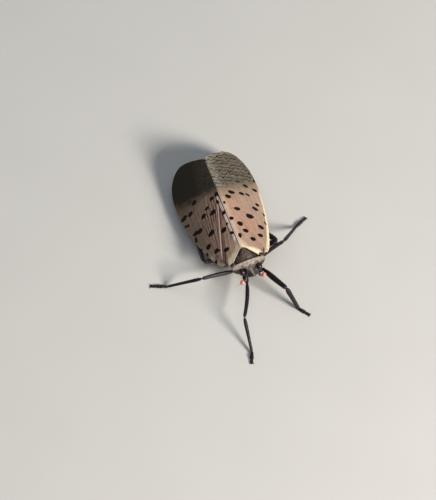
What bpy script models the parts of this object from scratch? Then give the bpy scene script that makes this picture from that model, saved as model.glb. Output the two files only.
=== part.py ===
"""A life-size spotted lanternfly that stands at rest on six legs, its wings folded over it like a roof.

Every size below is in millimetres, and MM turns it into metres. The head faces -Y, the insect's left side
is +X and the floor is Z = 0. While it is built, X = Y = 0 is the place behind the scutellum where the two
forewings meet. At the end the insect is moved so that the middle of its box stands over the origin.
"""

import math
from typing import NamedTuple

import bmesh
import bpy
import numpy as np
from mathutils import Vector

MM = 0.001
GAP = 0.07
RING_SIDES = 20
SHAFT_POINTS = 9
TUBE_RESOLUTION = 2
WELD = 0.002
BODY_SQUARENESS = 2.3
SHIELD_SQUARENESS = 2.6
ABDOMEN_SQUARENESS = 2.1

# Forewing, or tegmen, and the thin hindwing folded under it
SKIN = 0.5
RIDGE_HEIGHT = 7.0
RIDGE_END = 16.3
WING_FRONT = -2.35
APEX_Y = 18.0
APEX_X = 3.5
APEX_BLUNTNESS = 0.05
WIDEST = 6.6
WIDEST_AT = 12.0
LOST_AT_FRONT = 2.75
WIDENING_LENGTH = 14.0
WIDENING_POWER = 1.82
SHOULDER_LOSS = 0.85
SHOULDER_LENGTH = 0.5
TIP_POWER = 2.6
INNER_TIP_POWER = 0.7
MARGIN_LOW = 1.55
MARGIN_RISE = 4.6
MARGIN_FALL_AT = 1.5
MARGIN_FALL_LENGTH = 3.2
ROOF_STRAIGHT_SHARE = 0.75
LEFT_OVER_RIGHT = 0.2
WING_ROWS = 26
WING_COLUMNS = 8
HINDWING_FRONT = 1.0
HINDWING_REAR = 15.2
HINDWING_INNER = 0.35
HINDWING_GAP = 0.2
HINDWING_REACH = 0.8
HINDWING_ROWS = 14
HINDWING_COLUMNS = 6
SLOPE_STEP = 0.01
ROWS_TO_TIP = 0.8

# Trunk
SCUTELLUM_TIP = 0.65
SCUTELLUM_SPREAD = 1.026
FORE_YAW = math.radians(2.5)
FORE_SHIFT = 0.08
BELLY = 3.05
EYE_CENTRE = (1.38, -3.85, 5.05)
EYE_RADII = (0.52, 0.5, 0.6)
ROSTRUM_HEIGHT = 2.35
ROSTRUM_RADIUS = 0.25
ROSTRUM_REACH = 1.15
BULB_CENTRE = (1.78, -4.6, 3.52)
BULB_RADIUS = 0.4
ANTENNA_DIRECTION = (1.0, -0.22, 0.05)
ABDOMEN_FRONT = 1.25
ABDOMEN_REAR = 11.6
ABDOMEN_HALF_WIDTH = 2.75
ABDOMEN_HALF_HEIGHT = 1.34
ABDOMEN_MIDDLE = 3.55
ABDOMEN_SAG = 0.75
ABDOMEN_RINGS = 12

# Legs
COXA_RADII = (0.36, 0.3)
FEMUR_RADII = (0.29, 0.25)
TIBIA_RADII = (0.25, 0.25)
TARSUS_RADII = (0.25, 0.2)
JOINT_CLEARANCE = 0.38
SOLE_DEPTH = 0.06


class Finish(NamedTuple):
    """Colour as 0 to 255 sRGB, roughness and metallic value of a node's surface."""

    colour: tuple
    roughness: float
    metallic: float = 0.0


class Leg(NamedTuple):
    """The bends of one leg, from the trunk to the tip of the foot.

    The bow is how far the middle of the femur stands off the straight line between its ends.
    """

    hip: tuple
    trochanter: tuple
    knee: tuple
    ankle: tuple
    toe: tuple
    bow: tuple


WING_TAN = Finish((196, 166, 144), 0.5)
HINDWING_RED = Finish((170, 52, 40), 0.55)
FACE_BROWN = Finish((92, 74, 66), 0.5)
EYE_DARK = Finish((42, 30, 30), 0.15)
ANTENNA_ORANGE = Finish((214, 96, 38), 0.4)
PRONOTUM_GREY = Finish((188, 172, 158), 0.6)
MESONOTUM_TAUPE = Finish((98, 78, 68), 0.55)
TRUNK_BLACK = Finish((38, 30, 34), 0.4)
ABDOMEN_YELLOW = Finish((206, 168, 60), 0.5)
LEG_BLACK = Finish((30, 24, 30), 0.25)

LEGS = {
    "front_l": Leg(
        hip=(0.95, -2.9, 2.6),
        trochanter=(2.4, -3.1, 2.6),
        knee=(4.28, -8.42, 4.4),
        ankle=(5.45, -10.25, 0.3),
        toe=(6.72, -11.9, 0.2),
        bow=(-0.1, 0, 0.12),
    ),
    "front_r": Leg(
        hip=(-0.7, -3.2, 2.62),
        trochanter=(-0.66, -4.2, 2.65),
        knee=(-3.21, -10.38, 3.5),
        ankle=(-3.72, -14.83, 0.3),
        toe=(-4.38, -16.51, 0.2),
        bow=(0.25, 0, 0.12),
    ),
    "mid_l": Leg(
        hip=(1.25, -1.5, 2.6),
        trochanter=(1.75, -1.25, 2.4),
        knee=(6.64, -0.78, 4.8),
        ankle=(9.91, 3.41, 0.3),
        toe=(12.15, 4.58, 0.2),
        bow=(0, 0.1, 0.12),
    ),
    "mid_r": Leg(
        hip=(-1.25, -1.5, 2.6),
        trochanter=(-1.6, -1.75, 2.4),
        knee=(-7.04, -2.07, 4.0),
        ankle=(-12.18, 0.6, 0.3),
        toe=(-14.6, 1.71, 0.2),
        bow=(0, 0, 0.12),
    ),
    "hind_l": Leg(
        hip=(1.1, 0.0, 2.6),
        trochanter=(1.35, 0.5, 2.35),
        knee=(5.95, 0.44, 3.4),
        ankle=(3.2, 7.2, 0.3),
        toe=(3.8, 9.4, 0.2),
        bow=(0, 0, 0.12),
    ),
    "hind_r": Leg(
        hip=(-1.1, 0.0, 2.6),
        trochanter=(-1.35, 0.55, 2.35),
        knee=(-5.81, 0.92, 3.4),
        ankle=(-5.2, 8.5, 0.3),
        toe=(-5.5, 10.8, 0.2),
        bow=(0, 0, 0.12),
    ),
}


def clear_scene():
    """Removes what the file opened with."""
    for obj in list(bpy.data.objects):
        bpy.data.objects.remove(obj, do_unlink=True)


def new_collection(name, hidden=False):
    """A collection in the scene."""
    collection = bpy.data.collections.new(name)
    bpy.context.scene.collection.children.link(collection)
    collection.hide_render = hidden
    return collection


def linear(channel):
    """A 0 to 255 sRGB channel as linear light."""
    share = channel / 255
    return share / 12.92 if share <= 0.04045 else ((share + 0.055) / 1.055) ** 2.4


def dress(obj, finish):
    """Gives the object a Principled material of its own."""
    material = bpy.data.materials.new(obj.name + "_finish")
    material.use_nodes = True
    shader = material.node_tree.nodes["Principled BSDF"]
    shader.inputs["Base Color"].default_value = (*map(linear, finish.colour), 1.0)
    shader.inputs["Roughness"].default_value = finish.roughness
    shader.inputs["Metallic"].default_value = finish.metallic
    obj.data.materials.clear()
    obj.data.materials.append(material)


def add_node(name, mesh, finish, parent):
    """Puts a mesh into the insect's collection as one named, smooth-shaded node."""
    obj = bpy.data.objects.new(name, mesh)
    PARTS.objects.link(obj)
    obj.parent = parent
    mesh.shade_smooth()
    mesh.set_sharp_from_angle(angle=math.radians(50))
    dress(obj, finish)
    return obj


def mesh_from(name, build):
    """A mesh that build fills in."""
    mesh = bpy.data.meshes.new(name)
    shape = bmesh.new()
    build(shape)
    shape.to_mesh(mesh)
    shape.free()
    return mesh


def ring(y, half_width, low, waist, high, squareness=BODY_SQUARENESS):
    """Points round a cross-section of the trunk: two half superellipses, widest at the waist's height."""
    angle = np.linspace(0, 2 * math.pi, RING_SIDES, endpoint=False)
    across = np.sign(np.cos(angle)) * np.abs(np.cos(angle)) ** (2 / squareness)
    upward = np.sign(np.sin(angle)) * np.abs(np.sin(angle)) ** (2 / squareness)
    height = waist + upward * np.where(upward > 0, high - waist, waist - low)
    return np.stack([half_width * across, np.full(RING_SIDES, y), height], 1)


def loft(name, rings, finish, parent):
    """A closed skin over rings that follow each other from front to rear, with a fan over each end."""

    def build(shape):
        rows = [[shape.verts.new(Vector(point) * MM) for point in points] for points in rings]
        for front, rear in zip(rows, rows[1:]):
            for i in range(RING_SIDES):
                j = (i + 1) % RING_SIDES
                shape.faces.new((front[i], front[j], rear[j], rear[i]))
        for row, points in ((rows[0], rings[0]), (rows[-1], rings[-1])):
            centre = shape.verts.new(Vector(points.mean(axis=0)) * MM)
            for i in range(RING_SIDES):
                shape.faces.new((row[i], row[(i + 1) % RING_SIDES], centre))
        bmesh.ops.recalc_face_normals(shape, faces=shape.faces)

    return add_node(name, mesh_from(name, build), finish, parent)


def ball(name, centre, radii, finish, parent, grow=0.0):
    """An ellipsoid with its middle at centre."""

    def build(shape):
        bmesh.ops.create_uvsphere(shape, u_segments=16, v_segments=10, radius=MM)
        bmesh.ops.scale(shape, vec=Vector(radii) + Vector((grow, grow, grow)), verts=shape.verts)
        bmesh.ops.translate(shape, vec=Vector(centre) * MM, verts=shape.verts)

    return add_node(name, mesh_from(name, build), finish, parent)


def hide_as_cutter(obj):
    """Moves an object to the cutters, where it guides a cut and isn't a part."""
    PARTS.objects.unlink(obj)
    CUTTERS.objects.link(obj)
    obj.hide_render = True
    obj.display_type = "WIRE"


def carve(target, cutter):
    """Cuts the cutter's shape out of the target."""
    modifier = target.modifiers.new("carve_" + cutter.name, "BOOLEAN")
    modifier.operation = "DIFFERENCE"
    modifier.object = cutter


def tube(name, points, radii, finish, parent, sole=None):
    """A rod along points with a radius at each, its ends filled. Below the sole's depth it is pressed flat."""
    curve = bpy.data.curves.new(name, "CURVE")
    curve.dimensions = "3D"
    curve.bevel_depth = MM
    curve.bevel_resolution = TUBE_RESOLUTION
    curve.use_fill_caps = True
    spline = curve.splines.new("POLY")
    spline.points.add(len(points) - 1)
    for knot, place, radius in zip(spline.points, points, radii):
        knot.co = (*(Vector(place) * MM), 1.0)
        knot.radius = radius
    guide = bpy.data.objects.new(name + "_guide", curve)
    PARTS.objects.link(guide)
    evaluated = guide.evaluated_get(bpy.context.evaluated_depsgraph_get())
    mesh = bpy.data.meshes.new_from_object(evaluated)
    bpy.data.objects.remove(guide, do_unlink=True)
    shape = bmesh.new()
    shape.from_mesh(mesh)
    bmesh.ops.remove_doubles(shape, verts=shape.verts, dist=MM * WELD)
    if sole is not None:
        for vert in shape.verts:
            vert.co.z = 0.0 if vert.co.z < sole * MM else vert.co.z
    bmesh.ops.recalc_face_normals(shape, faces=shape.faces)
    shape.to_mesh(mesh)
    shape.free()
    return add_node(name, mesh, finish, parent)


def shaft(start, end, radii, bow=(0, 0, 0)):
    """Points and radii of a rod with rounded ends, whose middle stands off the straight line by the bow."""
    share = 0.5 - 0.5 * np.cos(np.linspace(0, math.pi, SHAFT_POINTS))
    start, end = np.array(start), np.array(end)
    points = start + np.outer(share, end - start)
    points += np.outer(4 * share * (1 - share), bow)
    rounding = 0.4 + 0.6 * np.sqrt(1 - np.abs(2 * share - 1) ** 8)
    return points, (radii[0] + (radii[1] - radii[0]) * share) * rounding


def along(start, end, distance):
    """The point at a distance from start on the way to end."""
    start, end = np.array(start), np.array(end)
    return start + (end - start) * distance / np.linalg.norm(end - start)


def outer_edge(y):
    """How far the forewing's outer margin would lie from the midline with its two ends left square."""
    share = np.maximum(WIDEST_AT - y, 0) / WIDENING_LENGTH
    return WIDEST - LOST_AT_FRONT * share**WIDENING_POWER


def rounded_outer_edge(y):
    """The outer margin, drawn in to the wing's shoulder in front and along a superellipse to its tip."""
    shoulder = SHOULDER_LOSS * np.exp(-(y - WING_FRONT) / SHOULDER_LENGTH)
    share = np.clip((y - WIDEST_AT) / (APEX_Y - WIDEST_AT), 0, 1)
    return APEX_X + (outer_edge(y) - shoulder - APEX_X) * np.sqrt(1 - share**TIP_POWER)


def inner_edge(y, side):
    """The inner margin: beside the scutellum, along the ridge, then round to the wing's tip."""
    ridge = -LEFT_OVER_RIGHT if side > 0 else LEFT_OVER_RIGHT + GAP
    beside_scutellum = (-y - SCUTELLUM_TIP) * SCUTELLUM_SPREAD
    share = np.clip((y - RIDGE_END) / (APEX_Y - RIDGE_END), 0, 1)
    return np.maximum(ridge, beside_scutellum) + (APEX_X - ridge) * (1 - (1 - share) ** INNER_TIP_POWER)


def roof_height(x, y):
    """Height of the forewing's upper face: a ridge whose sides fall ever more steeply to the margin."""
    margin = MARGIN_LOW + MARGIN_RISE / (1 + np.exp((y - MARGIN_FALL_AT) / MARGIN_FALL_LENGTH))
    share = np.abs(x) / outer_edge(y)
    fall = ROOF_STRAIGHT_SHARE * share + (1 - ROOF_STRAIGHT_SHARE) * share**2
    return RIDGE_HEIGHT - (RIDGE_HEIGHT - margin) * fall


def upright_depth(x, y, depth):
    """How far straight down one goes to be that deep under the forewing's slanting face."""
    step = SLOPE_STEP
    slope_x = (roof_height(x + step, y) - roof_height(x - step, y)) / (2 * step)
    slope_y = (roof_height(x, y + step) - roof_height(x, y - step)) / (2 * step)
    return depth * math.sqrt(1 + slope_x**2 + slope_y**2)


def wing_sheet(name, rows, columns, plan, depth, finish, parent):
    """A wing SKIN thick whose upper face lies that deep under the roof. Plan turns two shares into X and Y."""

    def build(shape):
        bmesh.ops.create_grid(shape, x_segments=columns, y_segments=rows, size=0.5)
        for vert in shape.verts:
            x, y = plan(vert.co.x + 0.5, vert.co.y + 0.5)
            vert.co = Vector((x, y, roof_height(x, y) - upright_depth(x, y, depth))) * MM
        upper = list(shape.faces)
        made = bmesh.ops.extrude_face_region(shape, geom=upper, use_keep_orig=True)
        for vert in (item for item in made["geom"] if isinstance(item, bmesh.types.BMVert)):
            vert.co.z -= upright_depth(vert.co.x / MM, vert.co.y / MM, SKIN) * MM
        bmesh.ops.recalc_face_normals(shape, faces=shape.faces)

    add_node(name, mesh_from(name, build), finish, parent)


def build_tegmen(name, side, parent):
    """One forewing. Its rows crowd towards the rounded tip."""
    rear = APEX_Y - APEX_BLUNTNESS

    def plan(across, back):
        y = WING_FRONT + (rear - WING_FRONT) * math.sin(back * math.pi / 2) ** ROWS_TO_TIP
        inner = inner_edge(y, side)
        return side * (inner + (rounded_outer_edge(y) - inner) * across), y

    wing_sheet(name, WING_ROWS, WING_COLUMNS, plan, 0.0, WING_TAN, parent)


def build_hindwing(name, side, parent):
    """One hindwing, folded flat against the forewing's lower face."""

    def plan(across, back):
        y = HINDWING_FRONT + (HINDWING_REAR - HINDWING_FRONT) * back
        reach = HINDWING_REACH * rounded_outer_edge(y)
        return side * (HINDWING_INNER + (reach - HINDWING_INNER) * across), y

    wing_sheet(name, HINDWING_ROWS, HINDWING_COLUMNS, plan, SKIN + HINDWING_GAP, HINDWING_RED, parent)


def build_head(parent):
    """Short head whose face slopes back below a blunt front, with room for the bulging eyes."""
    stations = (
        (-3.68, 1.45, 3.4, 4.7, 5.6),
        (-4.0, 1.5, 3.2, 4.8, 5.75),
        (-4.35, 1.35, 3.25, 4.85, 5.7),
        (-4.65, 1.05, 3.6, 4.9, 5.6),
        (-4.92, 0.7, 4.1, 5.0, 5.5),
        (-5.12, 0.32, 4.7, 5.05, 5.35),
    )
    return loft("head", [ring(*station) for station in stations], FACE_BROWN, parent)


def build_prothorax(parent):
    """The first ring of the thorax under its broad pale shield."""
    stations = (
        (-3.61, 1.25, 3.3, 4.7, 5.55),
        (-3.4, 1.75, 3.1, 4.9, 5.85),
        (-3.1, 2.35, BELLY, 5.1, 6.02),
        (-2.88, 2.68, BELLY, 5.3, 6.12),
        (-2.7, 2.58, BELLY, 5.3, 6.15),
    )
    return loft("prothorax", [ring(*station) for station in stations], PRONOTUM_GREY, parent)


def build_eyes(parent, sockets_in):
    """An eye on each side, and its socket in what lies round it."""
    for side, letter in ((1, "l"), (-1, "r")):
        centre = (side * EYE_CENTRE[0], *EYE_CENTRE[1:])
        ball("eye_" + letter, centre, EYE_RADII, EYE_DARK, parent)
        socket = ball("socket_" + letter, centre, EYE_RADII, EYE_DARK, parent, grow=GAP)
        hide_as_cutter(socket)
        for target in sockets_in:
            carve(target, socket)


def build_rostrum(parent):
    """The beak: from the face down and back between the coxae."""
    knots = (
        (-3.75, 2.9, 0.18),
        (-3.55, 2.72, ROSTRUM_RADIUS),
        (-3.15, ROSTRUM_HEIGHT + 0.1, ROSTRUM_RADIUS),
        (-2.6, ROSTRUM_HEIGHT, ROSTRUM_RADIUS),
        (-1.0, ROSTRUM_HEIGHT, ROSTRUM_RADIUS),
        (ROSTRUM_REACH - 0.2, ROSTRUM_HEIGHT, ROSTRUM_RADIUS),
        (ROSTRUM_REACH, ROSTRUM_HEIGHT, 0.12),
    )
    points = [(0, y, z) for y, z, _ in knots]
    tube("rostrum", points, [radius for _, _, radius in knots], TRUNK_BLACK, parent)


def build_antenna(name, side, parent):
    """A round bulb on a short stalk, with a bristle that points out and forward.

    Each step is a distance from the bulb's middle and a share of the bulb's radius.
    """
    stalk = ((-0.75, 0.45), (-0.55, 0.5), (-0.33, 0.8))
    bulb = ((-0.1, 1.0), (0.12, 0.95), (0.3, 0.65))
    bristle = ((0.42, 0.35), (1.2, 0.2))
    steps = (*stalk, *bulb, *bristle)
    points = [Vector(BULB_CENTRE) + Vector(ANTENNA_DIRECTION) * step for step, _ in steps]
    radii = [BULB_RADIUS * share for _, share in steps]
    tube(name, [(side * point.x, point.y, point.z) for point in points], radii, ANTENNA_ORANGE, parent)


def build_thorax(fore, rear):
    """The raised shield between the wings, and the second and third rings of the thorax below it."""
    shield = (
        (-2.62, 1.85, 5.02, 5.5, 6.2),
        (-2.35, 1.45, 5.02, 5.6, 6.42),
        (-2.0, 1.08, 5.02, 5.7, 6.6),
        (-1.6, 0.68, 5.02, 5.9, 6.72),
        (-1.2, 0.28, 5.1, 6.0, 6.78),
        (-0.98, 0.1, 5.4, 6.1, 6.7),
    )
    rings = [ring(*station, squareness=SHIELD_SQUARENESS) for station in shield]
    loft("mesonotum", rings, MESONOTUM_TAUPE, fore)
    mesothorax = ((-2.62, 2.1, BELLY, 4.0, 4.9), (-1.7, 2.25, BELLY, 4.0, 4.92), (-0.63, 2.25, BELLY, 4.0, 4.95))
    loft("mesothorax", [ring(*station) for station in mesothorax], TRUNK_BLACK, rear)
    metathorax = ((-0.56, 2.25, BELLY, 4.0, 4.95), (0.3, 2.2, BELLY, 3.9, 4.8), (1.18, 2.05, BELLY, 3.8, 4.5))
    loft("metathorax", [ring(*station) for station in metathorax], TRUNK_BLACK, rear)


def build_abdomen(parent):
    """A spindle that swells behind the hind legs and narrows to its tip."""
    rings = []
    for share in np.linspace(0, 1, ABDOMEN_RINGS):
        y = ABDOMEN_FRONT + (ABDOMEN_REAR - ABDOMEN_FRONT) * share
        swell = (0.72 + 1.1 * share * (1 - share)) * math.sqrt(1 - share**4 * 0.93)
        middle = ABDOMEN_MIDDLE - ABDOMEN_SAG * share
        low = middle - ABDOMEN_HALF_HEIGHT * min(swell, 1.0)
        high = middle + ABDOMEN_HALF_HEIGHT * min(swell, 1.0) * 0.86
        rings.append(ring(y, ABDOMEN_HALF_WIDTH * swell, low, middle, high, ABDOMEN_SQUARENESS))
    loft("abdomen", rings, ABDOMEN_YELLOW, parent)


def build_leg(name, leg, parent):
    """Coxa, femur, tibia and tarsus, each a node that ends just short of the next."""
    tube("coxa_" + name, *shaft(leg.hip, leg.trochanter, COXA_RADII), LEG_BLACK, parent)
    thigh = along(leg.trochanter, leg.knee, JOINT_CLEARANCE)
    tube("femur_" + name, *shaft(thigh, leg.knee, FEMUR_RADII, leg.bow), LEG_BLACK, parent)
    shin = along(leg.knee, leg.ankle, JOINT_CLEARANCE)
    tube("tibia_" + name, *shaft(shin, leg.ankle, TIBIA_RADII), LEG_BLACK, parent)
    heel = along(leg.ankle, leg.toe, JOINT_CLEARANCE)
    points, radii = shaft(heel, leg.toe, TARSUS_RADII)
    points[:, 2] = radii
    tube("tarsus_" + name, points, radii, LEG_BLACK, parent, sole=SOLE_DEPTH)


def stand_over_origin(root):
    """Moves the insect so that the middle of its box, at floor level, is the origin."""
    bpy.context.view_layer.update()
    corners = [obj.matrix_world @ Vector(corner) for obj in PARTS.objects for corner in obj.bound_box]
    low = [min(corner[i] for corner in corners) for i in range(3)]
    high = [max(corner[i] for corner in corners) for i in range(3)]
    root.location = (-(low[0] + high[0]) / 2, -(low[1] + high[1]) / 2, -low[2])


def empty(name, parent=None):
    """A frame that its children stand in."""
    obj = bpy.data.objects.new(name, None)
    PARTS.objects.link(obj)
    obj.parent = parent
    return obj


def main():
    """Builds every part of the insect, then stands it over the origin."""
    root = empty("lanternfly_frame")
    fore = empty("forebody_frame", root)
    fore.rotation_euler.z = FORE_YAW
    fore.location.x = FORE_SHIFT * MM
    build_eyes(fore, sockets_in=(build_head(fore), build_prothorax(fore)))
    build_rostrum(fore)
    build_thorax(fore, root)
    build_abdomen(root)
    for side, letter in ((1, "l"), (-1, "r")):
        build_antenna("antenna_" + letter, side, fore)
        build_tegmen("tegmen_" + letter, side, root)
        build_hindwing("hindwing_" + letter, side, root)
    for name, leg in LEGS.items():
        build_leg(name, leg, root)
    stand_over_origin(root)


clear_scene()
PARTS = new_collection("spotted_lanternfly")
CUTTERS = new_collection("cutters", hidden=True)
main()
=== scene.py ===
import logging
import math
from dataclasses import dataclass, field
from enum import Enum
from typing import Sequence

import bpy
import numpy as np
from mathutils import Matrix, Vector


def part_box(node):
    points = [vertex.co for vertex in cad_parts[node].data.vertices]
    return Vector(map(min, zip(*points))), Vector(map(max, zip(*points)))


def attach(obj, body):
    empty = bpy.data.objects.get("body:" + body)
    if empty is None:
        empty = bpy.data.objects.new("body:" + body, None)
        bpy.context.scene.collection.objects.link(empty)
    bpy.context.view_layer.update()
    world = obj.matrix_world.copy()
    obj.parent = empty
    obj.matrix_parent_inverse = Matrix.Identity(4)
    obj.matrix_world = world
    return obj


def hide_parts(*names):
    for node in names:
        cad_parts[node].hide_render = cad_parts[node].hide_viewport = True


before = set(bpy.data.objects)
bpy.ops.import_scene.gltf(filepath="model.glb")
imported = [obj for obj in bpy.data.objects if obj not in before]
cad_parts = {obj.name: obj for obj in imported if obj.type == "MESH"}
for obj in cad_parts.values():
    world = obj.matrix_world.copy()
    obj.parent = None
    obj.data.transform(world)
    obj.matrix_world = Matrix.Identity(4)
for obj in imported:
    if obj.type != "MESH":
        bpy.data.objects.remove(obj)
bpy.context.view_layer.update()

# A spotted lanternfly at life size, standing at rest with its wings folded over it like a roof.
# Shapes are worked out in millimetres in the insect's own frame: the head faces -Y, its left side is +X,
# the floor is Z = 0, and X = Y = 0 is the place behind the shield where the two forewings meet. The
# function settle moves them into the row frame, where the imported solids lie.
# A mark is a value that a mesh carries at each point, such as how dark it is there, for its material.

MM = 0.001
TURN = 2 * math.pi
WAVES_IN_RIPPLES = 14
# Y at which the mesothorax solid begins, and the turn and the move of the forebody to the insect's left
THORAX_FRONT = -2.62
FORE_YAW = math.radians(2.5)
FORE_SHIFT = 0.08
# Numbers of the Mix node's two colour inputs, and of its colour output
MIX_FIRST, MIX_SECOND, MIX_RESULT = 6, 7, 2

Array = np.ndarray
Marks = dict[str, Array]
Point = tuple[float, float, float]
Colour = tuple[int, int, int]
Floats = tuple[float, ...]
Stations = tuple[Floats, ...]
Node = bpy.types.Node
Socket = bpy.types.NodeSocket

log = logging.getLogger("lanternfly")


class Side(Enum):
    """The insect's own left and right."""

    LEFT = 1
    RIGHT = -1

    @property
    def word(self) -> str:
        """The side's name in a piece's name."""
        return self.name.lower()

    @property
    def letter(self) -> str:
        """The side's letter in a solid's name."""
        return self.word[0]


class Pair(Enum):
    """The three pairs of legs."""

    FRONT = "front"
    MID = "mid"
    HIND = "hind"


# Formulas that several pieces share


def way(value: Array, low: float, high: float) -> Array:
    """The share of the way from low to high, 0 before it and 1 beyond it."""
    return np.clip((value - low) / (high - low), 0, 1)


def ease(value: Array, low: float, high: float) -> Array:
    """0 below low, 1 above high, and a smooth step between them."""
    share = way(value, low, high)
    return share * share * (3 - 2 * share)


def window(value: Array, start: float, full: float, fading: float, end: float) -> Array:
    """0 below start, 1 from full to fading and 0 beyond end, with smooth steps between them."""
    return ease(value, start, full) * (1 - ease(value, fading, end))


def ridge(distance: Array, width: float) -> Array:
    """The bell curve exp(-(distance / width)^2): 1 on a line and 0 a little way off it."""
    return np.exp(-((distance / width) ** 2))


def rounded(share: Array, exponent: float, closed: float) -> Array:
    """A width on the way to a round end, 1 before it: the root of 1 less closed times a power of share."""
    return np.sqrt(1 - share**exponent * closed)


def power(value: Array, exponent: float) -> Array:
    """A power that keeps the sign."""
    return np.sign(value) * np.abs(value) ** exponent


def unit(vectors: Array) -> Array:
    """The vectors at length 1."""
    return vectors / np.maximum(np.linalg.norm(vectors, axis=-1, keepdims=True), 1e-12)


def ring_angles(columns: int) -> Array:
    """Evenly spaced angles round a ring."""
    return np.linspace(0, TURN, columns, endpoint=False)


def through(stations: Sequence[Sequence[float]], shares: Array) -> Array:
    """Rows of numbers read along a Catmull-Rom curve through the stations.

    Args:
        stations: rows of numbers, evenly spaced along it.
        shares: places along the curve, from 0 to 1.

    Returns:
        One row for each share.
    """
    table = np.array(stations, float)
    padded = np.vstack([2 * table[0] - table[1], table, 2 * table[-1] - table[-2]])
    place = np.clip(shares, 0, 1) * (len(table) - 1)
    first = np.minimum(place.astype(int), len(table) - 2)
    t = (place - first)[:, None]
    a, b, c, d = (padded[first + i] for i in range(4))
    return 0.5 * (2 * b + (c - a) * t + (2 * a - 5 * b + 4 * c - d) * t**2 + (3 * b - a - 3 * c + d) * t**3)


def ripples(points: Array, size: float, seed: int) -> Array:
    """Soft random relief: a sum of plane waves in random directions.

    Args:
        points: places in two or three dimensions.
        size: about how long the waves are.
        seed: settles which waves they are.

    Returns:
        Heights of about -1 to 1.
    """
    random = np.random.default_rng(seed)
    directions = random.normal(size=(WAVES_IN_RIPPLES, points.shape[-1]))
    directions /= np.linalg.norm(directions, axis=1, keepdims=True)
    numbers = directions * random.uniform(0.7, 1.4, (WAVES_IN_RIPPLES, 1)) * TURN / size
    starts = random.uniform(0, TURN, WAVES_IN_RIPPLES)
    return np.sin(points @ numbers.T + starts).sum(-1) / math.sqrt(WAVES_IN_RIPPLES)


def domes(u: Array, v: Array, pitch: float) -> Array:
    """A close-packed field of round domes: 1 less the square of the distance from the nearest top.

    Args:
        u: places across the field.
        v: places along it.
        pitch: distance between neighbouring tops.

    Returns:
        Heights of 1 on a top and 0 where two domes of a row meet.
    """
    row = pitch * math.sqrt(3)
    nearest = np.full(np.shape(u), np.inf)
    for shift in (0.0, 0.5):
        du = (u / pitch - shift + 0.5) % 1 - 0.5
        dv = (v / row - shift + 0.5) % 1 - 0.5
        nearest = np.minimum(nearest, (du * pitch) ** 2 + (dv * row) ** 2)
    return 1 - nearest / (pitch / 2) ** 2


def hashed(key: Array, factor: float) -> Array:
    """A number of -0.5 to 0.5 that looks random but follows from the key: the last digits of a sine."""
    return np.abs(np.sin(key) * factor) % 1 - 0.5


def cells(u: Array, v: Array, width: float, length: float, jitter: float) -> Array:
    """Distance to the nearest cell's border, in a brick-wall lattice with each cell's middle moved.

    It is the second nearest middle's distance less the nearest one's.

    Args:
        u: places across the lattice.
        v: places along it.
        width: a cell's size across.
        length: a cell's size along.
        jitter: how far its middle may be moved, in cell sizes.

    Returns:
        Distances in cell sizes, 0 on a border and about 0.5 in the middle of a cell.
    """
    row = np.floor(v / length)
    nearest = np.full(np.shape(u), np.inf)
    second = nearest.copy()
    for j in (-1, 0, 1):
        line = row + j
        column = np.floor(u / width - 0.5 * (line % 2))
        for i in (-1, 0, 1):
            key = (column + i) * 127.1 + line * 311.7
            middle = column + i + 0.5 + 0.5 * (line % 2)
            across = u / width - (middle + jitter * hashed(key, 43758.5))
            along = v / length - (line + 0.5 + jitter * hashed(key + 53.3, 24634.6))
            distance = np.hypot(across, along)
            second = np.minimum(second, np.maximum(distance, nearest))
            nearest = np.minimum(nearest, distance)
    return second - nearest


def outward(points: Array) -> Array:
    """Normals of a ringed grid: the cross product of its two directions, turned away from its middle.

    Args:
        points: the grid, a row for each ring.

    Returns:
        A normal of length 1 for each point.
    """
    along = np.gradient(points, axis=0)
    around = np.roll(points, -1, axis=1) - np.roll(points, 1, axis=1)
    normal = unit(np.cross(along, around))
    away = points - points.mean(axis=1, keepdims=True)
    return normal * np.sign((normal * away).sum())


def lift(points: Array, height: Array) -> Array:
    """The ringed grid with each point moved outward, square to the surface, by its height."""
    return points + outward(points) * height[..., None]


def trunk_rings(
    stations: Stations, rows: int, columns: int, squareness: float = 2.3
) -> tuple[Array, Array]:
    """Rings across the trunk, each of two half superellipses that meet at its waist.

    Args:
        stations: rows of y, half width, and the heights of the belly, the waist and the back.
        rows: how many rings.
        columns: points round each ring.
        squareness: the superellipse's power, 2 for an ellipse.

    Returns:
        The points, and each column's angle, 0 at the left side and a quarter turn on top.
    """
    y, half_width, low, waist, high = through(stations, np.linspace(0, 1, rows)).T[..., None]
    angle = ring_angles(columns)
    across = power(np.cos(angle), 2 / squareness)
    upward = power(np.sin(angle), 2 / squareness)
    height = waist + upward * np.where(upward > 0, high - waist, waist - low)
    return np.stack([half_width * across, y + 0 * across, height], -1), angle


def sweep(path: Array, radii: Array, section: Array, up: Point = (0, 0, 1), tall: float = 1.0) -> Array:
    """Rings that stand square to a path.

    Args:
        path: the points that the rings are centred on.
        radii: each ring's radius.
        section: the outline, a radius for each angle, in one row or one for each ring.
        up: which way the section's quarter turn points.
        tall: height of the section for a width of 1.

    Returns:
        A grid with a row for each ring.
    """
    tangent = unit(np.gradient(path, axis=0))
    side = unit(np.cross(tangent, up))
    top = np.cross(side, tangent)
    angle = ring_angles(section.shape[-1])
    wide = (radii[:, None] * np.cos(angle) * section)[..., None] * side[:, None]
    high = (radii[:, None] * np.sin(angle) * section * tall)[..., None] * top[:, None]
    return path[:, None] + wide + high


def globe(rows: int, columns: int) -> tuple[Array, Array, Array]:
    """A sphere of radius 1, in rings about the X axis.

    Args:
        rows: how many rings it has.
        columns: points round each ring.

    Returns:
        The points, their angle from the pole at +X, and their angle round it.
    """
    margin = 0.5 / rows
    polar = np.linspace(margin, 1 - margin, rows)[:, None] * math.pi + 0 * ring_angles(columns)
    around = ring_angles(columns) + 0 * polar
    points = np.stack([np.cos(polar), np.sin(polar) * np.cos(around), np.sin(polar) * np.sin(around)], -1)
    return points, polar, around


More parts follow.
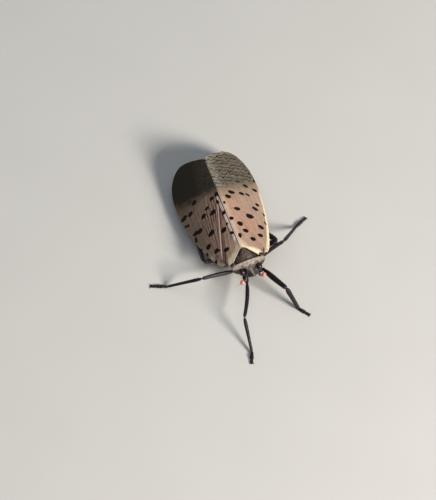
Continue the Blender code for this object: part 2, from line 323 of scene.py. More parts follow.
def mirror(points: Array, side: Side) -> Array:
    """Points of the left side, moved to the side that is asked for."""
    return points * (side.value, 1, 1)


def settle(points: Array) -> Array:
    """The insect's points, still in mm, moved into the row frame by where the mesothorax solid lies."""
    low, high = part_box("mesothorax")
    return points + (0.5 * (low.x + high.x) / MM, low.y / MM - THORAX_FRONT, 0)


def turn_forebody(points: Array) -> Array:
    """Places on the head, pronotum or shield, turned a little to the left about the vertical and moved."""
    cosine, sine = math.cos(FORE_YAW), math.sin(FORE_YAW)
    return points @ np.array([[cosine, sine, 0], [-sine, cosine, 0], [0, 0, 1]]) + (FORE_SHIFT, 0, 0)


# Meshes


@dataclass
class Patch:
    """One closed body: a grid whose columns run round it, with a fan over its first row and its last."""

    points: Array
    marks: Marks = field(default_factory=dict)

    def arrays(self, first: int) -> tuple[Array, Array, Array]:
        """The body as flat arrays.

        Args:
            first: its first point's number in the mesh.

        Returns:
            Points, four-sided faces and triangles, which point outwards.
        """
        rows, columns = self.points.shape[:2]
        ends = self.points[[0, -1]].mean(axis=1)
        flat = np.vstack([self.points.reshape(-1, 3), ends])
        at = np.arange(rows * columns).reshape(rows, columns)
        ahead = np.roll(at, -1, axis=1)
        quads = np.stack([at[:-1], ahead[:-1], ahead[1:], at[1:]], -1).reshape(-1, 4)
        front = np.stack([ahead[0], at[0], np.full(columns, rows * columns)], -1)
        rear = np.stack([at[-1], ahead[-1], np.full(columns, rows * columns + 1)], -1)
        triangles = np.vstack([front, rear])
        halves = np.vstack([quads[:, [0, 1, 2]], quads[:, [0, 2, 3]], triangles])
        a, b, c = (flat[halves[:, i]] - flat[0] for i in range(3))
        if (a * np.cross(b, c)).sum() < 0:
            quads, triangles = quads[:, ::-1], triangles[:, ::-1]
        return flat, quads + first, triangles + first

    def mark(self, name: str) -> Array:
        """A mark's value at each point, 0 where the patch has none, and the ends' means last."""
        value = np.broadcast_to(self.marks.get(name, 0.0), self.points.shape[:2])
        return np.concatenate([value.ravel(), value[[0, -1]].mean(axis=1)])


@dataclass
class Needles:
    """Fine three-sided needles: hairs."""

    roots: Array
    directions: Array
    lengths: Array
    thickness: float

    def arrays(self, first: int) -> tuple[Array, Array, Array]:
        """The needles as flat arrays, three points round each root and one at each tip.

        Args:
            first: their first point's number in the mesh.

        Returns:
            Points, no four-sided faces, and four triangles for each needle.
        """
        along = unit(self.directions)
        side = unit(np.cross(along, along[:, [1, 2, 0]] + (0.1, 0.2, 0.3)))
        other = np.cross(along, side)
        feet = [
            self.roots + self.thickness * (math.cos(turn) * side + math.sin(turn) * other)
            for turn in (0.0, TURN / 3, 2 * TURN / 3)
        ]
        points = np.stack([*feet, self.roots + along * self.lengths[:, None]], 1).reshape(-1, 3)
        base = np.arange(len(self.roots))[:, None, None] * 4
        shape = np.array([(0, 1, 3), (1, 2, 3), (2, 0, 3), (0, 2, 1)])
        return points, np.zeros((0, 4), int), (base + shape).reshape(-1, 3) + first

    def mark(self, name: str) -> Array:
        """0 at each point for every mark, as hairs carry none."""
        return np.zeros(len(self.roots) * 4)


def make_mesh(name: str, bodies: Sequence[Patch | Needles], marks: Sequence[str]) -> bpy.types.Mesh:
    """One smooth-shaded mesh, in metres in the row frame, from bodies in millimetres in the insect's frame.

    Args:
        name: the mesh's name.
        bodies: what it holds.
        marks: names of the marks that it carries.

    Returns:
        The mesh.
    """
    points, quads, triangles = [], [], []
    for body in bodies:
        made = body.arrays(sum(len(part) for part in points))
        for kept, new in zip((points, quads, triangles), made):
            kept.append(new)
    places = settle(np.vstack(points)) * MM
    four, three = np.vstack(quads), np.vstack(triangles)
    mesh = bpy.data.meshes.new(name)
    mesh.vertices.add(len(places))
    mesh.vertices.foreach_set("co", places.ravel())
    mesh.loops.add(four.size + three.size)
    corners = np.concatenate([four.ravel(), three.ravel()])
    mesh.loops.foreach_set("vertex_index", corners.astype(np.int32))
    starts = np.concatenate([np.arange(len(four)) * 4, four.size + np.arange(len(three)) * 3])
    mesh.polygons.add(len(starts))
    mesh.polygons.foreach_set("loop_start", starts.astype(np.int32))
    mesh.update(calc_edges=True)
    for mark in marks:
        values = np.concatenate([body.mark(mark) for body in bodies]).astype(np.float32)
        mesh.attributes.new(mark, "FLOAT", "POINT").data.foreach_set("value", values)
    mesh.shade_smooth()
    return mesh


# Shader nodes


def linear(colour: Colour) -> tuple[float, float, float, float]:
    """A 0 to 255 sRGB colour as linear light: a straight part near black, and a power of 2.4 above it."""
    shares = [channel / 255 for channel in colour]
    light = (share / 12.92 if share <= 0.04045 else ((share + 0.055) / 1.055) ** 2.4 for share in shares)
    return (*light, 1.0)


class Tree:
    """Adds and links the nodes of one material or group by short calls.

    An object that is fed, mixed or added is either another node's socket or a plain value.
    """

    def __init__(self, tree: bpy.types.NodeTree) -> None:
        """Keeps the node tree and one node for the object's coordinates."""
        self.tree = tree
        self.place = self.add("ShaderNodeTexCoord").outputs["Object"]

    def add(self, kind: str, values: dict[str | int, object] | None = None, **settings: object) -> Node:
        """A new node.

        Args:
            kind: its type's name.
            values: what goes into its inputs, by their names or numbers.
            settings: values of its own settings by name.

        Returns:
            The node.
        """
        node = self.tree.nodes.new(kind)
        for name, value in settings.items():
            setattr(node, name, value)
        for name, value in (values or {}).items():
            self.feed(node.inputs[name], value)
        return node

    def feed(self, socket: Socket, value: object) -> None:
        """Links a socket into an input, or sets the input's own value.

        Args:
            socket: the input.
            value: what goes into it.
        """
        if isinstance(value, Socket):
            self.tree.links.new(value, socket)
        else:
            socket.default_value = value

    def mark(self, name: str) -> Socket:
        """A value that the mesh carries at each point."""
        return self.add("ShaderNodeAttribute", attribute_name=name).outputs["Fac"]

    def maths(self, operation: str, first: object, second: object) -> Socket:
        """The sum, product, difference or quotient of two numbers."""
        return self.add("ShaderNodeMath", {0: first, 1: second}, operation=operation).outputs[0]

    def step(self, value: object, low: float, high: float, top: float = 1.0) -> Socket:
        """0 where the value is under low, top where it is over high, and a smooth rise between."""
        values = {"Value": value, "From Min": low, "From Max": high, "To Max": top}
        return self.add("ShaderNodeMapRange", values, interpolation_type="SMOOTHSTEP").outputs["Result"]

    def mix(self, share: object, first: object, second: object) -> Socket:
        """A colour between two, given as sockets or as 0 to 255 sRGB, with that share of the second."""
        ends = [linear(colour) if isinstance(colour, tuple) else colour for colour in (first, second)]
        values = {"Factor": share, MIX_FIRST: ends[0], MIX_SECOND: ends[1]}
        return self.add("ShaderNodeMix", values, data_type="RGBA").outputs[MIX_RESULT]

    def shade(self, colour: object, factor: object) -> Socket:
        """A colour times a number."""
        return self.add("ShaderNodeVectorMath", {0: colour, "Scale": factor}, operation="SCALE").outputs[0]

    def noise(self, size: float, detail: float = 3.0, stretch: Point = (1, 1, 1)) -> Socket:
        """Soft noise.

        Args:
            size: about how large its features are, in mm.
            detail: how many finer layers it has.
            stretch: how much longer they are along each axis.

        Returns:
            Values from 0 to 1.
        """
        scale = tuple(1 / (size * MM * axis) for axis in stretch)
        moved = self.add("ShaderNodeMapping", {"Vector": self.place, "Scale": scale}).outputs[0]
        values = {"Vector": moved, "Scale": 1.0, "Detail": detail}
        return self.add("ShaderNodeTexNoise", values).outputs["Fac"]

    def bump(self, height: object, depth: float) -> Socket:
        """A normal that tilts as if the surface had that relief, a height of 1 standing depth mm high."""
        return self.add("ShaderNodeBump", {"Height": height, "Distance": depth * MM}).outputs["Normal"]

    def group(self, made: bpy.types.NodeTree, **values: object) -> Node:
        """A shared group, placed with its own values, which are named in small letters."""
        named = {name.capitalize(): value for name, value in values.items()}
        return self.add("ShaderNodeGroup", named, node_tree=made)


def make_group(
    name: str, inputs: dict[str, float], outputs: Sequence[str]
) -> tuple[Tree, dict[str, Socket], Node]:
    """Starts a shared node group whose inputs and outputs are all numbers.

    Args:
        name: the group's name.
        inputs: names and default values of its inputs.
        outputs: names of its outputs.

    Returns:
        The group's tree, its input sockets by name, and its output node.
    """
    tree = bpy.data.node_groups.new(name, "ShaderNodeTree")
    for label, value in inputs.items():
        socket = tree.interface.new_socket(label, in_out="INPUT", socket_type="NodeSocketFloat")
        socket.default_value = value
    for label in outputs:
        tree.interface.new_socket(label, in_out="OUTPUT", socket_type="NodeSocketFloat")
    made = Tree(tree)
    source = made.add("NodeGroupInput")
    return made, {label: source.outputs[label] for label in inputs}, made.add("NodeGroupOutput")


class Effects:
    """Shader node groups that several finishes share, each built once."""

    def __init__(self) -> None:
        """Builds the groups."""
        self.cuticle = self.build_cuticle()
        self.bloom = self.build_bloom()

    @staticmethod
    def build_cuticle() -> bpy.types.NodeTree:
        """Fine horny grain: pits at two sizes for a bump, and a patchy shade round 1 for the colour.

        Returns:
            The group. Its input Size is in mm.
        """
        tree, given, out = make_group("cuticle_grain", {"Size": 0.06, "Contrast": 0.2}, ("Height", "Shade"))
        metres = tree.maths("MULTIPLY", given["Size"], MM)
        pits = tree.add("ShaderNodeTexVoronoi", feature="SMOOTH_F1")
        fine = tree.add("ShaderNodeTexNoise")
        patches = tree.add("ShaderNodeTexNoise")
        for node, factor in ((pits, 1.0), (fine, 2.6), (patches, 0.12)):
            tree.feed(node.inputs["Vector"], tree.place)
            tree.feed(node.inputs["Scale"], tree.maths("DIVIDE", factor, metres))
        tree.feed(fine.inputs["Detail"], 2.0)
        tree.feed(patches.inputs["Detail"], 4.0)
        fine_pits = tree.maths("MULTIPLY", fine.outputs["Fac"], 0.6)
        tree.feed(out.inputs["Height"], tree.maths("ADD", pits.outputs["Distance"], fine_pits))
        both = tree.maths("ADD", patches.outputs["Fac"], tree.maths("MULTIPLY", fine.outputs["Fac"], 0.4))
        swing = tree.maths("MULTIPLY", tree.maths("SUBTRACT", both, 0.7), given["Contrast"])
        tree.feed(out.inputs["Shade"], tree.maths("ADD", 1.0, tree.maths("MULTIPLY", swing, 4.0)))
        return tree.tree

    @staticmethod
    def build_bloom() -> bpy.types.NodeTree:
        """Waxy bloom: a patchy mask that lies more on faces that look up.

        Returns:
            The group. Its input Patch is in mm.
        """
        tree, given, out = make_group("wax_bloom", {"Amount": 0.5, "Patch": 0.4}, ("Mask",))
        patches = tree.add("ShaderNodeTexNoise")
        tree.feed(patches.inputs["Vector"], tree.place)
        metres = tree.maths("MULTIPLY", given["Patch"], MM)
        tree.feed(patches.inputs["Scale"], tree.maths("DIVIDE", 1.0, metres))
        tree.feed(patches.inputs["Detail"], 5.0)
        facing = tree.add("ShaderNodeSeparateXYZ")
        tree.feed(facing.inputs[0], tree.add("ShaderNodeNewGeometry").outputs["Normal"])
        upward = tree.step(facing.outputs["Z"], -0.6, 0.9)
        mask = tree.maths("MULTIPLY", tree.step(patches.outputs["Fac"], 0.3, 0.75), upward)
        tree.feed(out.inputs["Mask"], tree.maths("MULTIPLY", mask, given["Amount"]))
        return tree.tree


class FinishTree(Tree):
    """A material's nodes, with its shader's inputs and the shared groups."""

    def __init__(self, material: bpy.types.Material, effects: Effects) -> None:
        """Finds a new material's shader, and keeps the shared groups."""
        super().__init__(material.node_tree)
        self.into, self.effects = self.tree.nodes["Principled BSDF"].inputs, effects

    def grain_up(self, colour: object, grain: Node, depth: float) -> None:
        """Feeds a colour shaded by the grain, and a normal that the grain tilts to that depth in mm."""
        self.feed(self.into["Base Color"], self.shade(colour, grain.outputs["Shade"]))
        self.feed(self.into["Normal"], self.bump(grain.outputs["Height"], depth))

    def roughen(self, roughness: float, mask: object, more: float) -> None:
        """Feeds the roughness with so much more where the mask is 1."""
        added = self.maths("ADD", roughness, self.maths("MULTIPLY", mask, more))
        self.feed(self.into["Roughness"], added)


@dataclass(frozen=True)
class Finish:
    """A surface: what every finish has in common. Its marks are the values that its meshes carry."""

    name: str
    roughness: float = 0.5
    coat: float = 0.0
    coat_roughness: float = 0.2
    specular: float = 0.5
    marks: tuple[str, ...] = ()

    def make(self, effects: Effects) -> bpy.types.Material:
        """Makes the material, with its constant values on the shader's own sockets.

        Args:
            effects: the shared groups.

        Returns:
            The material.
        """
        material = bpy.data.materials.new(self.name)
        material.use_nodes = True
        tree = FinishTree(material, effects)
        tree.into["Roughness"].default_value = self.roughness
        tree.into["Coat Weight"].default_value = self.coat
        tree.into["Coat Roughness"].default_value = self.coat_roughness
        tree.into["Specular IOR Level"].default_value = self.specular
        self.paint(tree)
        return material

    def paint(self, tree: FinishTree) -> None:
        """Feeds the shader's colour, roughness and normal. Each finish has its own."""
        raise NotImplementedError


@dataclass(frozen=True)
class WingLeather(Finish):
    """The forewing: pinkish tan leather with raised paler veins, dark spots and a grey netted tip."""

    tan: Colour = (165, 139, 123)
    drift: Colour = (148, 126, 110)
    blush: Colour = (190, 122, 100)
    # Colour of the painted shade
    mauve: Colour = (74, 62, 42)
    cream: Colour = (248, 231, 194)
    # Cream under the painted shade
    dull_cream: Colour = (188, 178, 158)
    vein: Colour = (206, 182, 160)
    suture: Colour = (226, 208, 198)
    # Dark red of the suture's groove, also laid as the painted shadow beside the other wing's edge
    groove: Colour = (72, 36, 32)
    streak: Colour = (78, 46, 40)
    spot: Colour = (12, 5, 3)
    spot_heart: Colour = (24, 10, 7)
    soot: Colour = (58, 36, 28)
    grey: Colour = (124, 108, 90)
    tip: Colour = (44, 39, 34)
    web: Colour = (110, 103, 91)
    hem: Colour = (154, 149, 138)
    hem_tip: Colour = (76, 71, 64)
    # Netting under the painted shade
    dim: Colour = (42, 37, 29)

    def paint(self, tree: FinishTree) -> None:
        """Lays the markings over each other, the netting after the wing's own colours and a painted shade,
        and the spots last.

        Args:
            tree: the material's nodes.
        """
        grain = tree.group(tree.effects.cuticle, size=0.05, contrast=0.1)
        drift = tree.noise(1.6, detail=4.0, stretch=(1, 2.2, 1))
        colour = tree.mix(tree.step(drift, 0.3, 0.75), self.tan, self.drift)
        for mark, over in (("blush", self.blush), ("streak", self.streak)):
            colour = tree.mix(tree.mark(mark), colour, over)
        # The painted shade dulls the cream
        cream = tree.mix(tree.maths("MULTIPLY", tree.mark("dusk"), 4.0), self.cream, self.dull_cream)
        # The last overlay lays the painted shade
        overlays = (
            ("cream", cream), ("vein", self.vein), ("groove", self.groove), ("suture", self.suture),
            ("greying", self.grey), ("dusk", self.mauve),
        )
        for mark, over in overlays:
            colour = tree.mix(tree.mark(mark), colour, over)
        between = tree.mix(tree.mark("hem"), self.tip, self.hem_tip)
        netting = tree.mix(tree.mark("web"), between, tree.mix(tree.mark("hem"), self.web, self.hem))
        # The painted shade darkens the netting
        netting = tree.mix(tree.maths("MULTIPLY", tree.mark("dusk"), 2.0), netting, self.dim)
        colour = tree.mix(tree.mark("net"), colour, netting)
        colour = tree.mix(tree.mark("soot"), colour, self.soot)
        colour = tree.shade(colour, grain.outputs["Shade"])
        waver = tree.maths("MULTIPLY", tree.noise(0.12), 0.05)
        distance = tree.maths("ADD", tree.mark("spot"), waver)
        heart = tree.mix(tree.step(distance, -0.2, -0.06), self.spot_heart, self.spot)
        inside = tree.maths("SUBTRACT", 1.0, tree.step(distance, 0.035, 0.09))
        tree.feed(tree.into["Base Color"], tree.mix(inside, colour, heart))
        tree.roughen(self.roughness, grain.outputs["Height"], 0.1)
        tree.feed(tree.into["Normal"], tree.bump(grain.outputs["Height"], 0.006))


@dataclass(frozen=True)
class WingMembrane(Finish):
    """The hindwing: red at its root with dark spots, a white band behind it and a dark tip."""

    red: Colour = (178, 44, 30)
    white: Colour = (226, 218, 202)
    dark: Colour = (30, 24, 24)

    def paint(self, tree: FinishTree) -> None:
        """Red, then white, then dark from the root to the tip, with dark veins and spots over them.

        Args:
            tree: the material's nodes.
        """
        grain = tree.group(tree.effects.cuticle, size=0.06, contrast=0.12)
        colour = tree.mix(tree.mark("white"), self.red, self.white)
        for mark in ("tip", "vein"):
            colour = tree.mix(tree.mark(mark), colour, self.dark)
        inside = tree.maths("SUBTRACT", 1.0, tree.step(tree.mark("spot"), -0.02, 0.06))
        colour = tree.mix(inside, colour, self.dark)
        tree.grain_up(colour, grain, 0.004)


@dataclass(frozen=True)
class PlateShell(Finish):
    """A plate of the head or thorax: two tones laid by a mark, with a waxy bloom and fine pits."""

    base: Colour = (120, 100, 90)
    second: Colour = (40, 30, 28)
    wax: Colour = (214, 202, 190)
    wax_amount: float = 0.4
    patch: float = 0.35
    pit: float = 0.05
    pit_depth: float = 0.008
    marks: tuple[str, ...] = ("dark",)

    def paint(self, tree: FinishTree) -> None:
        """Base colour, second tone where the mark dark says so, and bloom over both, least on the second.

        Args:
            tree: the material's nodes.
        """
        grain = tree.group(tree.effects.cuticle, size=self.pit, contrast=0.22)
        bloom = tree.group(tree.effects.bloom, amount=self.wax_amount, patch=self.patch).outputs["Mask"]
        drift = tree.step(tree.noise(0.3, detail=4.0), 0.35, 0.7, 0.25)
        dark = tree.add("ShaderNodeClamp", {0: tree.maths("ADD", tree.mark("dark"), drift)}).outputs[0]
        colour = tree.mix(dark, self.base, self.second)
        bare = tree.maths("SUBTRACT", 1.0, tree.maths("MULTIPLY", dark, 0.8))
        colour = tree.mix(tree.maths("MULTIPLY", bloom, bare), colour, self.wax)
        tree.roughen(self.roughness, bloom, 0.3)
        tree.grain_up(colour, grain, self.pit_depth)


@dataclass(frozen=True)
class LegHorn(Finish):
    """Black horn with a painted purple sheen, a little brown dust, and paler joints."""

    black: Colour = (18, 14, 18)
    purple: Colour = (54, 38, 62)
    dust: Colour = (66, 54, 52)
    joint: Colour = (74, 52, 46)

    def paint(self, tree: FinishTree) -> None:
        """A painted purple sheen at glancing angles, dust in patches, and the joints' own colour by mark.

        Args:
            tree: the material's nodes.
        """
        grain = tree.group(tree.effects.cuticle, size=0.05, contrast=0.25)
        # Painted sheen: purple mixed into the colour at glancing angles
        facing = tree.add("ShaderNodeLayerWeight", {"Blend": 0.35}).outputs["Facing"]
        colour = tree.mix(tree.maths("MULTIPLY", facing, 0.6), self.black, self.purple)
        colour = tree.mix(tree.step(tree.noise(0.5, detail=5.0), 0.48, 0.8, 0.4), colour, self.dust)
        colour = tree.mix(tree.mark("joint"), colour, self.joint)
        tree.roughen(self.roughness, grain.outputs["Height"], 0.12)
        tree.grain_up(colour, grain, 0.008)


@dataclass(frozen=True)
class EyeLens(Finish):
    """The compound eye: purple brown, nearly black, under a clear coat."""

    deep: Colour = (17, 10, 11)
    rim: Colour = (52, 32, 30)

    def paint(self, tree: FinishTree) -> None:
        """Dark lenses with paler rims between them, and drifting bands.

        Args:
            tree: the material's nodes.
        """
        band = tree.step(tree.noise(0.45, detail=2.0, stretch=(1, 1, 0.45)), 0.42, 0.62, 0.6)
        colour = tree.mix(band, self.deep, self.rim)
        colour = tree.mix(tree.maths("MULTIPLY", tree.mark("groove"), 0.7), colour, self.rim)
        tree.feed(tree.into["Base Color"], colour)
        tree.feed(tree.into["Normal"], tree.bump(tree.noise(0.02, detail=1.0), 0.0012))


@dataclass(frozen=True)
class FeelerSkin(Finish):
    """The antenna: an orange bulb with pale grains, darker below, and a dark bristle."""

    orange: Colour = (192, 100, 76)
    grain: Colour = (222, 172, 154)
    shadow: Colour = (66, 26, 20)
    bristle: Colour = (52, 30, 24)

    def paint(self, tree: FinishTree) -> None:
        """Orange with grains by mark, darker towards the stalk, and the bristle's own colour.

        Args:
            tree: the material's nodes.
        """
        grain = tree.group(tree.effects.cuticle, size=0.04, contrast=0.2)
        colour = tree.mix(tree.mark("grain"), self.orange, self.grain)
        colour = tree.mix(tree.mark("shadow"), colour, self.shadow)
        colour = tree.mix(tree.mark("bristle"), colour, self.bristle)
        tree.grain_up(colour, grain, 0.005)


@dataclass(frozen=True)
class BandedSkin(Finish):
    """The abdomen: yellow plates with broad black bands, and a paler skin between them."""

    yellow: Colour = (212, 168, 62)
    black: Colour = (26, 21, 22)
    skin: Colour = (196, 170, 120)

    def paint(self, tree: FinishTree) -> None:
        """Yellow, bands by mark with ragged edges, and the soft skin in the folds.

        Args:
            tree: the material's nodes.
        """
        grain = tree.group(tree.effects.cuticle, size=0.07, contrast=0.2)
        tear = tree.maths("MULTIPLY", tree.noise(0.25, detail=4.0), 0.35)
        ragged = tree.maths("ADD", tree.mark("band"), tear)
        colour = tree.mix(tree.mark("fold"), self.yellow, self.skin)
        colour = tree.mix(tree.step(ragged, 0.6, 0.75), colour, self.black)
        tree.grain_up(colour, grain, 0.01)


@dataclass(frozen=True)
class StudioFloor(Finish):
    """Plain pale matt floor with a very fine tooth."""

    pale: Colour = (198, 198, 195)
    paler: Colour = (204, 204, 202)

    def paint(self, tree: FinishTree) -> None:
        """Two close tones in soft drifts."""
        tree.feed(tree.into["Base Color"], tree.mix(tree.noise(14.0), self.pale, self.paler))
        tree.feed(tree.into["Normal"], tree.bump(tree.noise(0.4, detail=4.0), 0.01))


# The finish of each material slot of the record
FINISHES = {
    "forewing": WingLeather(
        "wing_leather", roughness=0.52, specular=0.15,
        marks=(
            "blush", "dusk", "streak", "cream", "vein", "suture", "groove", "greying", "net", "web", "hem",
            "soot", "spot",
        ),
    ),
    "hindwing": WingMembrane("wing_membrane", roughness=0.4, marks=("white", "tip", "vein", "spot")),
    "face": PlateShell(
        "face_shell", roughness=0.42, base=(114, 101, 93), second=(24, 17, 17), wax_amount=0.2,
    ),
    "eye": EyeLens(
        "eye_lens", roughness=0.34, coat=0.25, coat_roughness=0.12, specular=0.35, marks=("groove",)
    ),
    "antenna": FeelerSkin("feeler_skin", roughness=0.34, coat=0.3, marks=("grain", "shadow", "bristle")),
    "pronotum": PlateShell(
        "collar_shell", roughness=0.5, base=(138, 123, 114), second=(42, 31, 27), wax_amount=0.25,
    ),
    "mesonotum": PlateShell(
        "shield_shell", roughness=0.45, base=(68, 51, 43), second=(18, 11, 12), wax=(104, 86, 78),
        wax_amount=0.28, patch=0.5,
    ),
    "underside": PlateShell(
        "trunk_shell", roughness=0.42, base=(150, 132, 116), second=(32, 26, 28), wax_amount=0.25,
    ),
    "abdomen": BandedSkin("banded_skin", roughness=0.45, marks=("band", "fold")),
    "leg": LegHorn(
        "leg_horn", roughness=0.46, coat=0.05, coat_roughness=0.25, specular=0.28, marks=("joint",)
    ),
}


@dataclass
class Workshop:
    """Turns finished bodies into the scene's pieces."""

    effects: Effects = field(default_factory=Effects)
    materials: dict[str, bpy.types.Material] = field(default_factory=dict)

    def material(self, slot: str) -> bpy.types.Material:
        """The slot's material, made when it is first asked for."""
        if slot not in self.materials:
            self.materials[slot] = FINISHES[slot].make(self.effects)
        return self.materials[slot]

    def add(
        self, name: str, slot: str, bodies: Sequence[Patch | Needles], replaced: Sequence[str] = ()
    ) -> None:
        """Puts a piece into the scene, on the insect's one body, and reports it.

        Args:
            name: the piece's name.
            slot: the record's material slot that it takes its finish from.
            bodies: what it is made of.
            replaced: the solids that it stands for.
        """
        mesh = make_mesh(name, bodies, FINISHES[slot].marks)
        mesh.materials.append(self.material(slot))
        piece = bpy.data.objects.new(name, mesh)
        bpy.context.scene.collection.objects.link(piece)
        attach(piece, "root")
        if replaced:
            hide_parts(*replaced)
        triangles = sum(len(polygon.vertices) - 2 for polygon in mesh.polygons)
        log.info("%s: %d triangles", name, triangles)


# Wings


@dataclass(frozen=True)
class Roof:
    """The roof that the folded forewings form: their outline over the floor and their height above it."""

    ridge_height: float = 7.0
    crease: float = 0.04
    front: float = -2.35
    apex_y: float = 18.0
    apex_x: float = 3.5
    apex_bluntness: float = 0.05
    tip_power: float = 2.6
    inner_tip_power: float = 0.7
    widest: float = 6.6
    widest_at: float = 12.0
    lost_at_front: float = 2.75
    widening_length: float = 14.0
    widening_power: float = 1.82
    shoulder_loss: float = 0.85
    shoulder_length: float = 0.5
    ridge_end: float = 16.3
    scutellum_tip: float = 0.65
    scutellum_spread: float = 1.026
    margin_low: float = 1.55
    margin_rise: float = 4.6
    margin_fall_at: float = 1.5
    margin_fall_length: float = 3.2
    straight_share: float = 0.75
    slope_step: float = 0.01

    def outer(self, y: Array) -> Array:
        """The outer margin with its ends left square: widest less a power of the way to the front."""
        share = np.maximum(self.widest_at - y, 0) / self.widening_length
        return self.widest - self.lost_at_front * share**self.widening_power

    def rounded_outer(self, y: Array) -> Array:
        """The outer margin, drawn in at the shoulder by an exponential and to the tip by a superellipse."""
        width = self.outer(y) - self.shoulder_loss * np.exp(-(y - self.front) / self.shoulder_length)
        closing = rounded(way(y, self.widest_at, self.apex_y), self.tip_power, 1.0)
        return self.apex_x + (width - self.apex_x) * closing

    def inner(self, y: Array, along_ridge: float, set_back: float = 0.0) -> Array:
        """The inner margin: beside the shield, then that far from the midline, then round to the tip.

        Args:
            y: places along.
            along_ridge: its distance behind the shield.
            set_back: how far it is drawn out beside the middle of the shield.

        Returns:
            The margin's distance from the midline.
        """
        beside = (-y - self.scutellum_tip) * self.scutellum_spread
        beside = beside + set_back * window(-y, 0.62, 0.8, 2.2, 2.9)
        share = way(y, self.ridge_end, self.apex_y)
        turned_out = (self.apex_x - along_ridge) * (1 - (1 - share) ** self.inner_tip_power)
        return np.maximum(along_ridge, beside) + turned_out

    def height(self, x: Array, y: Array) -> Array:
        """The ridge's height less a fall that steepens to the margin, whose own height falls rearwards.

        Args:
            x: places across.
            y: places along.

        Returns:
            Heights over the floor.
        """
        margin = self.margin_low + self.margin_rise / (
            1 + np.exp((y - self.margin_fall_at) / self.margin_fall_length)
        )
        share = (np.hypot(x, self.crease) - self.crease) / self.outer(y)
        fall = self.straight_share * share + (1 - self.straight_share) * share**2
        return self.ridge_height - (self.ridge_height - margin) * fall

    def steepness(self, x: Array, y: Array) -> Array:
        """How much longer a step straight down is than one square to the surface.

        Args:
            x: places across.
            y: places along.

        Returns:
            The root of 1 and the two slopes squared.
        """
        step = self.slope_step
        slope_x = (self.height(x + step, y) - self.height(x - step, y)) / (2 * step)
        slope_y = (self.height(x, y + step) - self.height(x, y - step)) / (2 * step)
        return np.sqrt(1 + slope_x**2 + slope_y**2)


@dataclass(frozen=True)
class Spot:
    """A dark spot: its place in the plan, its half length and half width, and its turn in degrees."""

    x: float
    y: float
    length: float
    width: float
    turn: float

    def distance(self, x: Array, y: Array) -> Array:
        """Distance outside an ellipse whose outline wavers a little with two sines of the angle round it.

        Args:
            x: places across.
            y: places along.

        Returns:
            Millimetres, less than 0 inside.
        """
        cosine, sine = math.cos(math.radians(self.turn)), math.sin(math.radians(self.turn))
        along = ((x - self.x) * cosine + (y - self.y) * sine) / self.length
        across = ((y - self.y) * cosine - (x - self.x) * sine) / self.width
        around = np.arctan2(across, along)
        waver = 0.05 * np.sin(3 * around + 9 * self.x) + 0.04 * np.sin(5 * around + 7 * self.y)
        return (np.hypot(along, across) - 1 - waver) * math.sqrt(self.length * self.width)


# Rows of a spot's values
LEFT_SPOTS = (
    (4.62, 11.3, 0.38, 0.25, 147), (5.87, 10.73, 0.36, 0.27, 160), (1.88, 9.79, 0.46, 0.3, 166),
    (1.08, 8.93, 0.43, 0.33, 167), (3.44, 9.64, 0.38, 0.25, 158), (4.35, 9.54, 0.31, 0.19, 154),
    (5.28, 7.75, 0.29, 0.25, 128), (4.64, 6.85, 0.46, 0.31, 138), (1.72, 6.56, 0.45, 0.32, 176),
    (3.24, 5.18, 0.54, 0.44, 163), (0.12, 7.77, 0.24, 0.17, 70), (0.2, 4.72, 0.34, 0.28, 24),
    (1.21, 3.69, 0.42, 0.4, 90), (1.63, 2.32, 0.4, 0.36, 163), (0.45, 1.47, 0.42, 0.25, 75),
    (4.29, 3.11, 0.46, 0.32, 124), (3.64, 1.42, 0.36, 0.34, 132), (2.23, 0.69, 0.38, 0.36, 138),
    (5.66, 5.87, 0.3, 0.12, 100), (5.28, 4.04, 0.3, 0.12, 100), (6.45, 12.75, 0.3, 0.14, 80),
)
RIGHT_SPOTS = (
    (0.46, 9.67, 0.36, 0.34, 22), (1.39, 9.57, 0.33, 0.27, 163), (0.8, 8.45, 0.36, 0.18, 84),
    (3.92, 10.94, 0.38, 0.31, 147), (2.56, 8.65, 0.31, 0.22, 168), (1.93, 7.39, 0.45, 0.34, 166),
    (0.52, 6.15, 0.34, 0.28, 157), (4.99, 9.75, 0.38, 0.29, 146), (3.38, 7.87, 0.4, 0.32, 149),
    (6.1, 9.9, 0.56, 0.33, 167), (5.86, 8.35, 0.21, 0.17, 111), (6.25, 8.55, 0.2, 0.18, 155),
    (4.65, 6.12, 0.42, 0.36, 160), (5.3, 6.3, 0.4, 0.32, 176), (3.26, 4.45, 0.52, 0.36, 152),
    (1.46, 3.6, 0.41, 0.37, 147), (0.73, 4.18, 0.2, 0.14, 78), (0.49, 2.32, 0.38, 0.22, 30),
    (4.36, 2.74, 0.42, 0.34, 130), (3.62, 1.2, 0.4, 0.26, 120), (3.3, 1.05, 0.26, 0.2, 60),
    (2.21, 0.35, 0.4, 0.34, 179), (5.6, 5.3, 0.46, 0.18, 100), (5.0, 1.6, 0.36, 0.2, 100),
    (4.25, -0.5, 0.34, 0.22, 110), (5.45, 3.1, 0.22, 0.14, 100),
)


